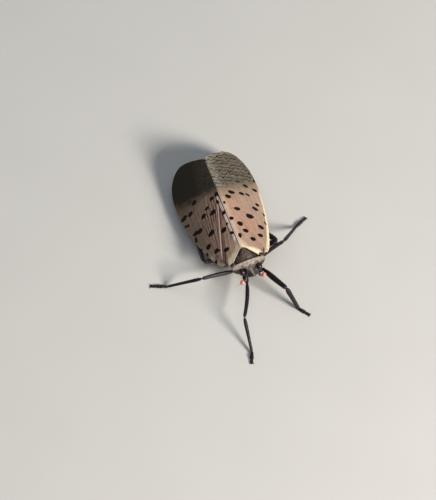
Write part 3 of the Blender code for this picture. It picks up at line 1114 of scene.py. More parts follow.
class WingPlace:
    """Places on one forewing's plan, and what its patterns are measured from."""

    def __init__(self, wing: "Forewing", x: Array, y: Array) -> None:
        """Measures the places.

        The claval suture is a straight line in the plan, from the ridge to the wing's root. The front of the
        netted tip curves rearwards to the margin and ripples.

        Args:
            wing: the wing.
            x: places across.
            y: places along.
        """
        outer = wing.roof.outer(y)
        self.x, self.y, self.plan = x, y, np.stack([x, y], -1)
        self.inner = wing.roof.inner(y, wing.inner_margin, wing.set_back)
        self.margin = wing.roof.rounded_outer(y)
        self.suture = 0.14 + 0.272 * (10.8 - y)
        # The suture's distance from the margin, and the share of it that lies inside each place
        self.spread = np.maximum(outer - self.suture, 0.3)
        self.share = (x - self.suture) / self.spread
        self.wander = 0.012 * ripples(self.plan, 3.0, 5)
        # How far each place lies behind the net's front, and how much of the net it has
        front = 10.45 + 1.7 * (x / outer) + 0.8 * (x / outer) ** 6
        self.behind = y - front + 0.18 * ripples(self.plan, 1.1, 11)
        self.net = ease(self.behind, -0.9, 0.7)
        self.near_net = ease(self.behind, -2.6, 0.3)


@dataclass
class Forewing:
    """One forewing: a thin leathery sheet on the roof, with raised veins, a suture and a netted tip.

    Each vein runs at its own share of the way from the claval suture to the outer margin, so the veins fan
    out from the wing's root, and that share eases from its stem's to its tip's between the root and the net.
    The welt is the pale cord along the inner margin of the wing that lies below the other.
    """

    side: Side
    spots: Stations
    inner_margin: float
    tuck: float = 0.0
    set_back: float = 0.0
    roof: Roof = field(default_factory=Roof)
    skin: float = 0.1
    rows: int = 470
    columns: int = 168
    under_columns: int = 26
    rim_columns: int = 5
    suture_height: float = 0.04
    suture_tint: float = 0.25
    suture_lines: Stations = ((0.08, 0.105), (-0.16, 0.09), (-0.42, 0.3))
    vein_height: float = 0.03
    vein_width: float = 0.06
    vein_tint: float = 0.3
    stems: Stations = (
        (0.05, 0.06), (0.16, 0.14), (0.16, 0.22), (0.3, 0.31), (0.38, 0.4), (0.38, 0.5), (0.6, 0.61),
        (0.6, 0.73), (0.86, 0.86),
    )
    streaks_across: float = 13.0
    streak_depth: float = 0.012
    streak_tint: float = 0.15
    cell_width: float = 0.33
    cell_length: float = 0.36
    cell_jitter: float = 0.8
    web_height: float = 0.02
    fine_web_height: float = 0.006
    wave_length: float = 0.66
    hem_reach: float = 1.9
    bead_height: float = 0.035
    buckling: Stations = ((0.03, 4.5, 21), (0.01, 1.1, 22))
    spot_depth: float = 0.012
    notch_depth: float = 0.1
    # Strength of the painted shade that the wing carries
    dusk: float = 0.0
    cream_edge: float = 0.9
    strip: float = 1.15
    rim_tint: float = 0.0
    welt: float = 0.0
    welt_height: float = 0.06
    flushes: Stations = ((2.7, 1.7, 3.3, 2.2), (1.3, 1.2, 6.6, 3.0), (2.6, 0.6, -0.5, 0.5))

    def veins(self, at: WingPlace) -> Array:
        """Bell curves across each vein: those that fan out beyond the suture, and two inside it.

        Args:
            at: the places.

        Returns:
            1 on a vein's middle line, 0 beside it and on the net.
        """
        vein = np.zeros_like(at.x)
        grown = ease(at.y, -1.5, 8.0)
        for stem, tip in self.stems:
            line = stem + (tip - stem) * grown + at.wander
            vein = np.maximum(vein, ridge((at.share - line) * at.spread, self.vein_width))
        # The painted shade also fades the veins towards the outer margin
        vein *= ease(at.share, 0.0, 0.04) * (1 - 4.0 * self.dusk * ease(at.share, 0.2, 0.7))
        clavus = np.clip(at.x / np.maximum(at.suture, 0.3), 0, 1)
        for line in (0.42 + 0.1 * ease(at.y, 6, 0), 0.72):
            inside = ridge((clavus - line) * at.suture, self.vein_width) * (at.x < at.suture)
            vein = np.maximum(vein, 0.8 * inside)
        return vein * (1 - at.net)

    def streaks(self, at: WingPlace) -> Array:
        """Dark streaks between the veins: a wave over the share that fades outwards and to both ends.

        Args:
            at: the places.

        Returns:
            1 on a streak's middle and 0 between two.
        """
        waves = self.streaks_across * (at.share + at.wander) + 0.12 * ripples(at.plan, 2.0, 6)
        swing = 0.5 + 0.5 * np.cos(TURN * waves)
        fading = ease(at.share, 0.0, 0.03) * (1 - 0.75 * ease(at.share, 0.3, 0.75))
        return (1 - swing**2) * fading * (1 - at.near_net) * ease(at.y, -1.5, 1.5)

    def suture_parts(self, at: WingPlace) -> list[Array]:
        """Bell curves across the suture's raised cord, the groove inside it and the hollow beside that."""
        fade = ease(at.y, -2.6, 1.2) * (1 - ease(at.behind, -0.5, 0.2))
        return [ridge(at.x - at.suture - middle, width) * fade for middle, width in self.suture_lines]

    def welt_parts(self, at: WingPlace) -> list[Array]:
        """The flat welt, the dark line outside it and the shade of the other wing's edge inside it.

        Args:
            at: the places.

        Returns:
            A value from 0 to 1 for each of the three.
        """
        cord = (1 - ease(np.abs(at.x - 0.56), 0.13, 0.22)) * window(at.y, 0.3, 1.4, 9.0, 10.2)
        line = ridge(at.x - 0.86, 0.08) * window(at.y, 1.0, 2.4, 8.4, 9.6)
        shade = ridge(at.x - 0.27, 0.1) * window(at.y, -0.4, 0.4, 9.2, 10.2)
        return [part * self.welt for part in (cord, line, shade)]

    def notch(self, at: WingPlace) -> Array:
        """The dark cleft in the front corner: a bell curve across a slanting line that widens forwards."""
        width = 0.06 + 0.16 * ease(-at.y, 0.9, 2.2)
        return ridge(at.x - 3.25 - 0.3 * (at.y + 1.0), width) * ease(-at.y, 0.8, 1.2)

    def netting(self, at: WingPlace) -> tuple[Array, Array]:
        """Cross veins on the borders of jittered cells in a rippled lattice, and how pale the netting is.

        The tone adds the cross veins to wavy dark rows with breaks, and is even at the net's front.

        Args:
            at: the places.

        Returns:
            1 on a cross vein and 0 inside a cell, then about 0 to 1 from dark to pale.
        """
        across = at.x + 0.07 * ripples(at.plan, 0.9, 3)
        along = at.y + 0.06 * ripples(at.plan, 0.8, 4)
        border = cells(across, along, self.cell_width, self.cell_length, self.cell_jitter)
        web = 1 - ease(border, 0.04, 0.34)
        wave = at.y / self.wave_length + 0.26 * ripples(at.plan * (1.2, 0.8), 1.0, 31)
        rows = 0.5 + 0.5 * np.sin(TURN * wave)
        breaks = 0.75 + 0.4 * ripples(at.plan * (1, 2), 0.8, 34)
        tone = 0.3 + 0.4 * web + breaks * (0.42 - 1.2 * rows**3)
        return web, np.maximum(tone, 0.75 - ease(at.behind, -0.9, 1.2))

    def cream(self, at: WingPlace) -> Array:
        """Cream along the outer margin and beside the shield, and a patch on the wing with the welt.

        Args:
            at: the places.

        Returns:
            How much cream each place has.
        """
        width = 0.21 + 0.16 * ease(-at.y, -4.0, 1.0)
        fading = 1 - 0.35 * ease(at.y, 2.5, 7.5) - 0.5 * ease(at.y, 9.0, 11.5)
        outer = self.cream_edge * (1 - ease(at.margin - at.x, 0.6 * width, 1.5 * width)) * fading
        patch = 0.65 * self.welt * ridge(np.hypot(at.x - 4.65, at.y - 0.5), 0.5)
        strip = self.strip + 0.2 * ease(-at.y, 0.6, 1.4)
        ragged = at.x - at.inner + 0.12 * ripples(at.plan, 0.6, 33)
        beside_shield = (1 - ease(ragged, strip - 0.8, strip + 0.35)) * ease(-at.y, -0.9, 0.6)
        inner = beside_shield * (0.5 + 0.4 * ease(-at.y, 0.5, 1.3))
        return np.max([outer, patch, inner], axis=0)

    def soot(self, at: WingPlace) -> Array:
        """Dark streaks inside the front corner, and a band, smudge and ring on the wing with the welt.

        Args:
            at: the places.

        Returns:
            How dark each place is.
        """
        corner = ease(-at.y, 1.0, 2.0) * ease(at.x, 2.5, 3.0)
        streaks = corner * ease(ripples(at.plan * (1.6, 0.8), 0.7, 23), -0.1, 0.6)
        band = 0.9 * ridge(at.x - at.suture + 0.52, 0.17) * ease(-at.y, -0.7, 0.5)
        smudge = 0.8 * ridge(np.hypot((at.x - 3.4) / 0.3, (at.y + 1.0) / 0.6), 0.9)
        ring = 0.7 * ridge(np.hypot(at.x - 3.8, at.y - 0.1) - 0.24, 0.1)
        return np.maximum(streaks, self.welt * np.max([band, smudge, ring], axis=0))

    def relief(self, x: Array, y: Array) -> tuple[Array, Marks]:
        """Height over the plain roof, a sum of the parts' heights, and the marks for the finish.

        Args:
            x: places across.
            y: places along.

        Returns:
            The height in millimetres, and the marks.
        """
        at = WingPlace(self, x, y)
        net, vein, streak, notch = at.net, self.veins(at), self.streaks(at), self.notch(at)
        web, web_tone = self.netting(at)
        fine_web = web * at.near_net * (1 - net)
        raised, sunk, hollow = self.suture_parts(at)
        welt, line, shade = self.welt_parts(at)
        spot = np.min([Spot(*row).distance(x, y) for row in self.spots], axis=0)
        inside, outside = x - at.inner, at.margin - x
        height = self.vein_height * vein + self.suture_height * (raised - 0.8 * sunk) - 0.03 * hollow
        height += self.web_height * web * net + self.fine_web_height * fine_web - self.streak_depth * streak
        height += self.bead_height * (ridge(outside, 0.16) + ridge(inside, 0.08))
        height += self.welt_height * welt - 0.05 * line
        height += sum(swell * ripples(at.plan, size, seed) for swell, size, seed in self.buckling)
        height -= self.spot_depth * (1 - ease(spot, -0.1, 0.05)) + self.notch_depth * notch
        flush = [ridge(np.hypot((x - a) / b, (y - c) / d), 1.0) for a, b, c, d in self.flushes]
        greying = ease(at.behind, -3.2, 0.2)
        # Painted shade: stronger outwards, rearwards and towards the net
        outer_shading = ease(at.share, 0.3, 0.9) * ease(y, -1.0, 4.5)
        pale_rim = self.rim_tint * (1 - ease(inside, 0.1, 1.0)) * (1 - net) * ease(y, -0.6, 0.6)
        edge_line = ridge(inside, 0.09) * (1 - net) * ease(y, -0.5, 0.3)
        shares = {
            "blush": 0.3 * np.max(flush, axis=0),
            "vein": self.vein_tint * np.maximum(vein, 0.5 * fine_web) + pale_rim,
            "suture": self.suture_tint * raised + 0.9 * welt + 0.8 * edge_line,
            # The groove mark also carries the painted shadow of the other wing's edge
            "groove": 1.7 * self.suture_tint * (sunk + 0.45 * hollow) + 0.5 * line + shade,
            "streak": self.streak_tint * streak,
        }
        marks = {
            **{name: np.clip(value, 0, 1) for name, value in shares.items()},
            "cream": self.cream(at),
            "net": net,
            "web": web_tone,
            "hem": 0.8 * (1 - ease(inside, -0.1, self.hem_reach)) + 0.2 * ridge(outside, 0.2),
            "greying": 0.85 * greying,
            # Painted shade, for the finish to lay
            "dusk": self.dusk * (0.85 + 2.6 * outer_shading + 2.1 * greying),
            "spot": spot,
            "soot": np.maximum(self.soot(at), 0.95 * notch),
        }
        return height, marks

    def build(self) -> Patch:
        """Rings across the wing: its upper face, a round rim, its lower face and the inner rim.

        Returns:
            The closed sheet.
        """
        roof = self.roof
        back = np.sin(np.linspace(0, 1, self.rows) * math.pi / 2) ** 0.8
        y = (roof.front + (roof.apex_y - roof.apex_bluntness - roof.front) * back)[:, None]
        rim = np.linspace(0, math.pi, self.rim_columns + 2)[1:-1]
        upper, lower = np.zeros(self.columns), np.zeros(self.under_columns)
        top, underside = np.linspace(0, 1, self.columns), np.linspace(1, 0, self.under_columns)
        across = np.concatenate([top, np.ones(len(rim)), underside, np.zeros(len(rim))])
        bulge = np.concatenate([upper, np.sin(rim), lower, -np.sin(rim)])
        depth = np.concatenate([upper, 0.5 - 0.5 * np.cos(rim), lower + 1, 0.5 + 0.5 * np.cos(rim)])
        inner = roof.inner(y, self.inner_margin, self.set_back)
        x = inner + (roof.rounded_outer(y) - inner) * across
        y = y + 0 * x
        height, marks = self.relief(x, y)
        tuck = self.tuck * (1 - ease(x - inner, 0.0, 0.4)) * ease(y, -0.9, 0.2)
        fall = self.skin * roof.steepness(x, y) * depth
        z = roof.height(x, y) - tuck + height * (1 - depth) - fall
        reach = x + bulge * self.skin * 0.5
        return Patch(np.stack([self.side.value * reach, y, z], -1), marks)


@dataclass
class Hindwing:
    """One hindwing, pleated lengthwise and folded flat under the forewing."""

    side: Side
    roof: Roof = field(default_factory=Roof)
    depth: float = 0.42
    skin: float = 0.04
    front: float = -0.7
    rear: float = 15.4
    inner: float = 0.4
    reach: float = 0.86
    tip_from: float = 0.72
    pleats: int = 9
    pleat_height: float = 0.07
    rows: int = 150
    columns: int = 126

    def build(self) -> Patch:
        """A thin sheet at one depth under the roof, with pleats that fan out from its root.

        Returns:
            The closed sheet.
        """
        roof = self.roof
        share = np.linspace(0, 1, self.rows)[:, None]
        y = self.front + (self.rear - self.front) * share
        half = self.columns // 2
        across = np.concatenate([np.linspace(0, 1, half), np.linspace(1, 0, self.columns - half)])
        under = np.concatenate([np.zeros(half), np.ones(self.columns - half)])
        closing = rounded(way(share, self.tip_from, 1), 2.4, 0.96)
        x = self.inner + (self.reach * roof.rounded_outer(y) - self.inner) * across * closing
        y = y + 0 * x
        pleats = across * self.pleats * TURN
        drop = (self.depth + self.skin * under) * roof.steepness(x, y)
        z = roof.height(x, y) - drop + np.sin(pleats) * self.pleat_height * (0.3 + 0.7 * share)
        marks = {
            "white": ease(y, 7.6, 8.2) * (1 - ease(y + 0.5 * x, 13.4, 14.2)),
            "tip": ease(y + 0.25 * x, 11.6, 12.4),
            "vein": 0.8 * ridge(np.cos(pleats), 0.12) + 0 * y,
            "spot": np.min([spot.distance(x, y) for spot in self.spots()], axis=0),
        }
        return Patch(np.stack([self.side.value * x, y, z], -1), marks)

    def spots(self) -> list[Spot]:
        """Spots on the red part: four staggered rows of four, each turned more than the last."""
        places = [(1.0 + 1.1 * i + 0.5 * (j % 2), 1.8 + 1.5 * j) for j in range(4) for i in range(4)]
        return [Spot(x, y, 0.3, 0.26, 20.0 * number) for number, (x, y) in enumerate(places)]


# Head and trunk


@dataclass
class Head:
    """The head capsule: a pale crown with ridged edges and a blunt point, and a dark face below."""

    rows: int = 130
    columns: int = 180
    stations: Stations = (
        (-3.3, 1.36, 3.4, 4.72, 5.66), (-3.6, 1.36, 3.22, 4.74, 5.68),
        (-3.95, 1.3, 3.25, 4.78, 5.66), (-4.3, 1.12, 3.78, 4.84, 5.6),
        (-4.62, 0.86, 4.32, 4.94, 5.5), (-4.9, 0.54, 4.78, 5.06, 5.38),
        (-5.1, 0.2, 5.04, 5.12, 5.22),
    )
    crown_front: float = -5.12
    crown_rear: float = -3.36
    crown_half_width: float = 1.0
    crown_taper: float = 1.8
    crown_relief: float = 0.05
    face_relief: float = 0.04
    eye_centre: tuple[float, float] = (-3.78, 5.06)
    eye_reach: float = 0.56
    eye_rim_relief: float = 0.09

    def build(self) -> Patch:
        """Rings, narrower above their waist, with keels along the crown's two edges and down the face.

        The crown is a triangle whose half width grows with a power of the way back from its tip. Each keel
        is a bell curve across its line, and so is the rim round each eye.

        Returns:
            The closed capsule.
        """
        points, angle = trunk_rings(self.stations, self.rows, self.columns)
        upper = np.clip(np.sin(angle), 0, 1)
        points[..., 0] *= 1 - 0.3 * upper * (1 - upper)
        x, y, z = np.moveaxis(points, -1, 0)
        above, fade = ease(upper, 0.15, 0.5), ease(y, -5.12, -4.95)
        back = np.clip((y - self.crown_front) / (self.crown_rear - self.crown_front), 0, 1.2)
        beside = np.abs(x) - self.crown_half_width * back**self.crown_taper
        keel = ridge(beside, 0.06) * above * fade
        dip = ease(-beside, 0.0, 0.3) * above
        slope = ease(beside, 0.05, 0.5) * above
        from_below = np.abs(angle - 3 * TURN / 4)
        face_keels = ridge(from_below - 0.45, 0.08) + 0.6 * ridge(from_below, 0.07)
        face_keels = face_keels * (1 - ease(y, -4.3, -4.0)) * fade
        groove = ridge(y + 4.05, 0.06) * (from_below < 0.9)
        from_eye = np.hypot(y - self.eye_centre[0], z - self.eye_centre[1])
        eye_rim = ridge(from_eye - self.eye_reach, 0.13) * (np.abs(x) > 0.6)
        height = self.crown_relief * (keel - dip - slope) + self.face_relief * (face_keels - groove)
        height += 0.006 * ripples(points, 0.35, 41) + self.eye_rim_relief * eye_rim
        side_line = ridge(beside - 0.1, 0.08) * above
        crown_lines = ridge(np.abs(x - 0.03) - 0.22, 0.07) * ease(y, -4.9, -4.3)
        smudges = 0.45 * ease(ripples(points, 0.4, 42), 0.2, 1.2) + 0.6 * crown_lines
        dark = 1 - above * (1 - ease(beside, -0.02, 0.06)) - 0.45 * keel - 0.35 * face_keels
        return Patch(lift(points, height), {"dark": np.clip(dark + side_line + smudges, 0, 1)})


@dataclass
class Eye:
    """A bulging compound eye, its lenses small domes in close-packed rows."""

    side: Side
    centre: Point = (1.36, -3.78, 5.06)
    radii: Point = (0.5, 0.55, 0.57)
    lens_field: float = 0.56
    lens: float = 0.034
    lens_height: float = 0.0035
    rows: int = 150
    columns: int = 240

    def build(self) -> Patch:
        """A globe whose domes lie as far off its outer pole as the straight chord to them is long.

        Returns:
            The closed eye, with the mark groove between its lenses.
        """
        sphere, polar, around = globe(self.rows, self.columns)
        chord = 2 * np.sin(polar / 2) * self.lens_field
        lenses = domes(chord * np.cos(around), chord * np.sin(around), self.lens)
        height = self.lens_height * np.clip(lenses, -0.4, 1)
        points = sphere * (np.array(self.radii) + height[..., None]) + self.centre
        return Patch(mirror(points, self.side), {"groove": 1 - ease(lenses, -0.35, 0.25)})


@dataclass
class Antenna:
    """A stalk, a round orange bulb set with grains, and a fine bristle."""

    side: Side
    centre: Point = (1.76, -4.6, 3.52)
    direction: Point = (1.0, -0.22, 0.05)
    radius: float = 0.34
    grain: float = 0.085
    grain_height: float = 0.016
    socket: Point = (0.86, -4.0, 3.88)
    stalk_radius: float = 0.19
    bristle_length: float = 1.05
    bristle_radius: float = 0.026
    rows: int = 18

    def build(self) -> list[Patch]:
        """The bulb is a globe, wider round its middle by a sine squared, with a dome for each grain.

        Two cosine waves waist the stalk. The bristle narrows evenly beyond a thick root, and the square of
        the way to its tip bends it up.

        Returns:
            Bulb, stalk and bristle, each closed.
        """
        axis = unit(np.array(self.direction))
        aside = unit(np.cross((0, 0, 1), axis))
        sphere, polar, around = globe(90, 140)
        chord = 2 * np.sin(polar / 2) * self.radius
        grains = domes(chord * np.cos(around), chord * np.sin(around), self.grain)
        reach = self.radius * (1 + 0.1 * np.sin(polar) ** 2) + self.grain_height * np.clip(grains, 0, 1)
        bulb = (sphere * reach[..., None]) @ np.stack([axis, aside, np.cross(axis, aside)]) + self.centre
        marks = {"grain": 0.75 * ease(grains, 0.15, 0.8), "shadow": 0.75 * ease(-sphere[..., 2], 0.1, 0.9)}
        steps = np.linspace(0, 1, self.rows)
        socket, centre = np.array(self.socket), np.array(self.centre)
        bend = centre - 0.42 * axis
        stalk_path = through([socket, 0.5 * (socket + bend), bend, centre], steps)
        stalk = sweep(stalk_path, self.stalk_radius + 0.03 * np.cos(2 * steps * TURN), np.ones(30))
        path = centre + np.outer(self.radius * 0.9 + self.bristle_length * steps, axis)
        path[:, 2] += 0.12 * steps**2
        radii = self.bristle_radius * (1 - 0.75 * steps) + 0.055 * ridge(steps, 0.12)
        bristle = sweep(path, radii, np.ones(12))
        return [
            Patch(mirror(bulb, self.side), marks),
            Patch(mirror(stalk, self.side), {"shadow": np.ones(stalk.shape[:2])}),
            Patch(mirror(bristle, self.side), {"bristle": np.ones(bristle.shape[:2])}),
        ]


@dataclass
class Beak:
    """The beak, from the face down and back between the legs, in two lengths with a groove below."""

    path: Stations = (
        (-3.65, 3.35), (-3.6, 3.05), (-3.4, 2.74), (-3.0, 2.5), (-2.2, 2.36), (-0.8, 2.34), (0.6, 2.34),
        (1.15, 2.34),
    )
    radius: float = 0.19
    joint_y: float = -1.4
    rows: int = 120
    columns: int = 40

    def build(self) -> Patch:
        """Rings that narrow evenly to a round tip, less bell curves at the joint and along the groove.

        Returns:
            The closed beak.
        """
        share = np.linspace(0, 1, self.rows)
        y, z = through(self.path, share).T
        radii = self.radius * (1.35 - 0.75 * share) * (1 - 0.25 * ridge(y - self.joint_y, 0.08))
        radii *= rounded(way(share, 0.95, 1), 2, 0.9)
        from_below = np.abs(ring_angles(self.columns) - 3 * TURN / 4)
        points = sweep(np.stack([0 * y, y, z], -1), radii, 1 - 0.25 * ridge(from_below, 0.25))
        return Patch(points, {"dark": np.ones(points.shape[:2])})


@dataclass
class Pronotum:
    """The pale collar behind the head, with a keel, two pits and a rounded rear edge over the shield."""

    rows: int = 110
    columns: int = 200
    squareness: float = 2.4
    stations: Stations = (
        (-3.42, 1.0, 3.4, 4.7, 5.6), (-3.37, 1.25, 3.3, 4.75, 5.75),
        (-3.25, 1.75, 3.15, 4.9, 5.9), (-3.1, 2.25, 3.07, 5.1, 6.03),
        (-2.93, 2.6, 3.07, 5.28, 6.13), (-2.76, 2.68, 3.07, 5.3, 6.2),
        (-2.6, 2.5, 3.2, 5.3, 6.14),
    )
    keel_height: float = 0.03
    pit_depth: float = 0.05
    wrinkle_height: float = 0.009

    def build(self) -> Patch:
        """Rings with a keel, a rim and two pits on top, each a bell curve, and fine wrinkles across.

        Returns:
            The closed collar, with dark flanks, blots and mottling.
        """
        points, angle = trunk_rings(self.stations, self.rows, self.columns, self.squareness)
        x, y, z = np.moveaxis(points, -1, 0)
        top = ease(np.sin(angle), 0.1, 0.5)
        keel, rim = ridge(x, 0.05) * top, ridge(y + 2.76, 0.07) * top
        pits = ridge(np.hypot(np.abs(x) - 0.42, (y + 3.05) * 1.3), 0.1) * top
        wrinkles = ripples(points * (0.5, 1.6, 1), 0.4, 51)
        height = self.keel_height * (keel + rim) - self.pit_depth * pits + self.wrinkle_height * wrinkles
        side_edge = ridge(np.abs(x) - 2.0, 0.1) * top
        side_blots = ridge(np.hypot((np.abs(x) - 1.1) / 0.42, (y + 3.22) / 0.2), 0.8)
        front_blot = ridge(np.hypot((x - 0.1) / 0.2, (y + 3.4) / 0.3), 0.8)
        mottling = ease(ripples(points[..., :2] * (1, 1.5), 0.5, 52), 0.2, 1.2) * ease(-y, 2.75, 3.0)
        patches = (mottling + 1.5 * (side_blots + 0.8 * front_blot)) * top
        dark = 1 - ease(z, 5.05, 5.45) + 0.5 * pits + 0.35 * side_edge + 0.5 * patches
        return Patch(lift(points, height), {"dark": np.clip(dark, 0, 1)})


@dataclass
class Shield:
    """The mesonotum and scutellum: a dark three-keeled triangle whose edges pass under the forewings."""

    roof: Roof = field(default_factory=Roof)
    front: float = -2.78
    rear: float = -0.35
    crest: Stations = ((6.14,), (6.3,), (6.48,), (6.62,), (6.72,), (6.76,), (6.66,))
    under_wing: float = 0.62
    sunk: float = 0.2
    keel_height: float = 0.045
    base: float = 5.0
    rows: int = 130
    columns: int = 120

    def build(self) -> Patch:
        """A saddle over a flat base: the crest less a square of x that meets the wings' inner edges.

        Returns:
            The closed shield.
        """
        y = np.linspace(self.front, self.rear, self.rows)[:, None]
        edge = np.maximum((-y - self.roof.scutellum_tip) * self.roof.scutellum_spread, 0.0)
        half = self.columns // 2
        across = np.concatenate([np.linspace(-1, 1, half), np.linspace(1, -1, self.columns - half)])
        on_top = np.concatenate([np.ones(half), np.zeros(self.columns - half)])
        x = (edge + self.under_wing) * across
        y = y + 0 * x
        middle = through(self.crest, np.linspace(0, 1, self.rows))
        at_edge = self.roof.height(edge, y[:, :1]) - self.sunk
        curve = np.maximum((middle - at_edge) / np.maximum(edge, 0.35) ** 2, 0.35)
        share = x / np.maximum(edge, 0.3)
        keels = ridge(share, 0.05) + 0.8 * ridge(np.abs(share) - 0.5, 0.05)
        wrinkles = ripples(np.stack([x, y * 0.6], -1), 0.35, 61)
        pinch = ridge(y + 1.35, 0.09) * ridge(share, 0.5)
        height = self.keel_height * keels * ease(-y, 0.8, 1.4) + 0.012 * wrinkles - 0.04 * pinch
        top = middle - np.minimum(curve * x**2, 1.2) + height
        z = np.where(on_top > 0, top, self.base)
        dark = ease(np.abs(share), 0.6, 1.0) + 0.95 * ridge(y + 2.6, 0.14) - 0.25 * keels
        return Patch(np.stack([x, y, z], -1), {"dark": np.clip(dark, 0, 1)})


@dataclass
class Trunk:
    """The thorax below the wings: its side plates, their seams, and a raised plate down its underside."""

    rows: int = 170
    columns: int = 180
    stations: Stations = (
        (-3.3, 1.5, 3.2, 4.0, 5.2), (-2.9, 2.1, 3.07, 4.2, 5.8),
        (-2.4, 2.24, 3.05, 4.2, 6.1), (-1.6, 2.28, 3.05, 4.2, 6.35),
        (-0.8, 2.26, 3.05, 4.1, 6.4), (0.0, 2.22, 3.05, 4.0, 6.2),
        (0.8, 2.14, 3.05, 3.9, 5.8), (1.5, 1.98, 3.1, 3.8, 5.2),
    )
    seams: Floats = (-2.5, -1.65, -0.6, 0.25)
    seam_depth: float = 0.05
    plate_height: float = 0.03

    def build(self) -> Patch:
        """Rings with slanting seams on the flanks and a bell curve along the underside.

        Returns:
            The closed thorax, paler in its seams.
        """
        points, angle = trunk_rings(self.stations, self.rows, self.columns)
        x, y, z = np.moveaxis(points, -1, 0)
        flank = ease(np.abs(np.cos(angle)), 0.25, 0.6)
        slanted = y + 0.35 * (z - 4.0)
        seams = sum(ridge(slanted - at, 0.05) for at in self.seams) * flank
        plate = ridge(x, 0.5) * ease(-np.sin(angle), 0.5, 0.9)
        height = self.plate_height * plate - self.seam_depth * seams + 0.012 * ripples(points, 0.5, 71)
        dark = 1 - 0.4 * seams - 0.25 * ridge(z - 3.4, 0.16) * flank
        return Patch(lift(points, height), {"dark": np.clip(dark, 0, 1)})


@dataclass
class Tegula:
    """The small scale that covers the root of a forewing."""

    side: Side
    centre: Point = (2.36, -2.46, 5.88)
    radii: Point = (0.46, 0.36, 0.2)
    tilt: float = math.radians(32)

    def build(self) -> Patch:
        """A flattened globe, turned about the insect's length so that it lies along the shoulder.

        Returns:
            The closed scale, darker to the rear.
        """
        sphere, _, _ = globe(60, 80)
        cosine, sine = math.cos(self.tilt), math.sin(self.tilt)
        local = sphere * self.radii
        points = local @ np.array([[cosine, 0, -sine], [0, 1, 0], [sine, 0, cosine]]) + self.centre
        points = lift(points, 0.01 * ripples(points, 0.3, 81))
        dark = 0.55 + 0.45 * ease(local[..., 1], -0.45, -0.1)
        return Patch(mirror(points, self.side), {"dark": dark})


@dataclass
class Abdomen:
    """The abdomen: overlapping yellow rings with black bands, narrowing to a dark tip."""

    front: float = 0.9
    rear: float = 11.55
    half_width: float = 2.72
    half_height: float = 1.32
    squareness: float = 2.1
    segments: int = 8
    overlap: float = 0.035
    rows: int = 260
    columns: int = 150

    def build(self) -> Patch:
        """Rings on a spindle. Within each segment the radius grows rearwards and then steps in to the next.

        The spindle's width is a parabola, rounded at both ends. Bands lie across the top of each segment
        between its ends, and blots below.

        Returns:
            The closed abdomen.
        """
        share = np.linspace(0, 1, self.rows)[:, None]
        angle = ring_angles(self.columns)
        y = self.front + (self.rear - self.front) * share
        swell = (0.72 + 1.1 * share * (1 - share)) * rounded(share, 4, 0.93)
        swell = swell * rounded(1 - way(share, 0, 0.09), 2, 0.95)
        phase = (share * self.segments) % 1
        step = self.overlap * phase - 0.05 * ridge(phase - 1, 0.05) - 0.03 * ridge(phase, 0.05)
        across = power(np.cos(angle), 2 / self.squareness) * self.half_width * swell
        upward = power(np.sin(angle), 2 / self.squareness)
        flatness = np.where(upward > 0, 0.86, 1.0)
        z = 3.55 - 0.75 * share + upward * self.half_height * np.minimum(swell, 1) * flatness
        points = np.stack([across, y + 0 * across, z], -1)
        side_keel = 0.05 * ridge(np.abs(np.cos(angle)) - 1, 0.06)
        height = step * ease(share, 0.02, 0.06) + side_keel + 0.01 * ripples(points, 0.6, 91)
        above = ease(np.sin(angle), -0.15, 0.1)
        bands = window(phase, 0.12, 0.2, 0.72, 0.82) * ease(1 - np.abs(np.cos(angle)), 0.02, 0.16)
        blots = (1 - above) * ease(phase, 0.1, 0.25) * ridge(np.cos(angle), 0.75)
        band = np.maximum(np.maximum(bands * above, 0.9 * blots), ease(share, 0.93, 0.97))
        marks = {"band": band * 0.85, "fold": ridge(phase - 1, 0.07) + 0 * across}
        return Patch(lift(points, height), marks)


# Legs


@dataclass(frozen=True)
class Stance:
    """Where one leg bends, from the trunk to the tip of its foot, as in the solids.

    The seed settles where its hairs stand. The bow is how far the thigh's middle stands off the straight
    line from the trochanter to the knee. The girth multiplies the thigh's and the shin's radii.
    """

    pair: Pair
    side: Side
    hip: Point
    trochanter: Point
    knee: Point
    ankle: Point
    toe: Point
    seed: int
    bow: Point = (0.0, 0.0, 0.12)
    girth: float = 1.0


STANCES = (
    Stance(
        Pair.FRONT, Side.LEFT, (0.95, -2.9, 2.6), (2.4, -3.1, 2.6), (4.28, -8.42, 4.4), (5.45, -10.25, 0.3),
        (6.72, -11.9, 0.2), seed=23, bow=(-0.1, 0.0, 0.12), girth=1.42,
    ),
    Stance(
        Pair.FRONT, Side.RIGHT, (-0.7, -3.2, 2.62), (-0.66, -4.2, 2.65), (-3.21, -10.38, 3.5),
        (-3.72, -14.83, 0.3), (-4.38, -16.51, 0.2), seed=21, bow=(0.25, 0.0, 0.12),
    ),
    Stance(
        Pair.MID, Side.LEFT, (1.25, -1.5, 2.6), (1.75, -1.25, 2.4), (6.64, -0.78, 4.8), (9.91, 3.41, 0.3),
        (12.15, 4.58, 0.2), seed=17, bow=(0.0, 0.1, 0.12), girth=1.05,
    ),
    Stance(
        Pair.MID, Side.RIGHT, (-1.25, -1.5, 2.6), (-1.6, -1.75, 2.4), (-7.04, -2.07, 4.0),
        (-12.18, 0.6, 0.3), (-14.6, 1.71, 0.2), seed=15, girth=1.05,
    ),
    Stance(
        Pair.HIND, Side.LEFT, (1.1, 0.0, 2.6), (1.35, 0.5, 2.35), (5.95, 0.44, 3.4), (3.2, 7.2, 0.3),
        (3.8, 9.4, 0.2), seed=20, girth=1.6,
    ),
    Stance(
        Pair.HIND, Side.RIGHT, (-1.1, 0.0, 2.6), (-1.35, 0.55, 2.35), (-5.81, 0.92, 3.4), (-5.2, 8.5, 0.3),
        (-5.5, 10.8, 0.2), seed=18, girth=1.15,
    ),
)


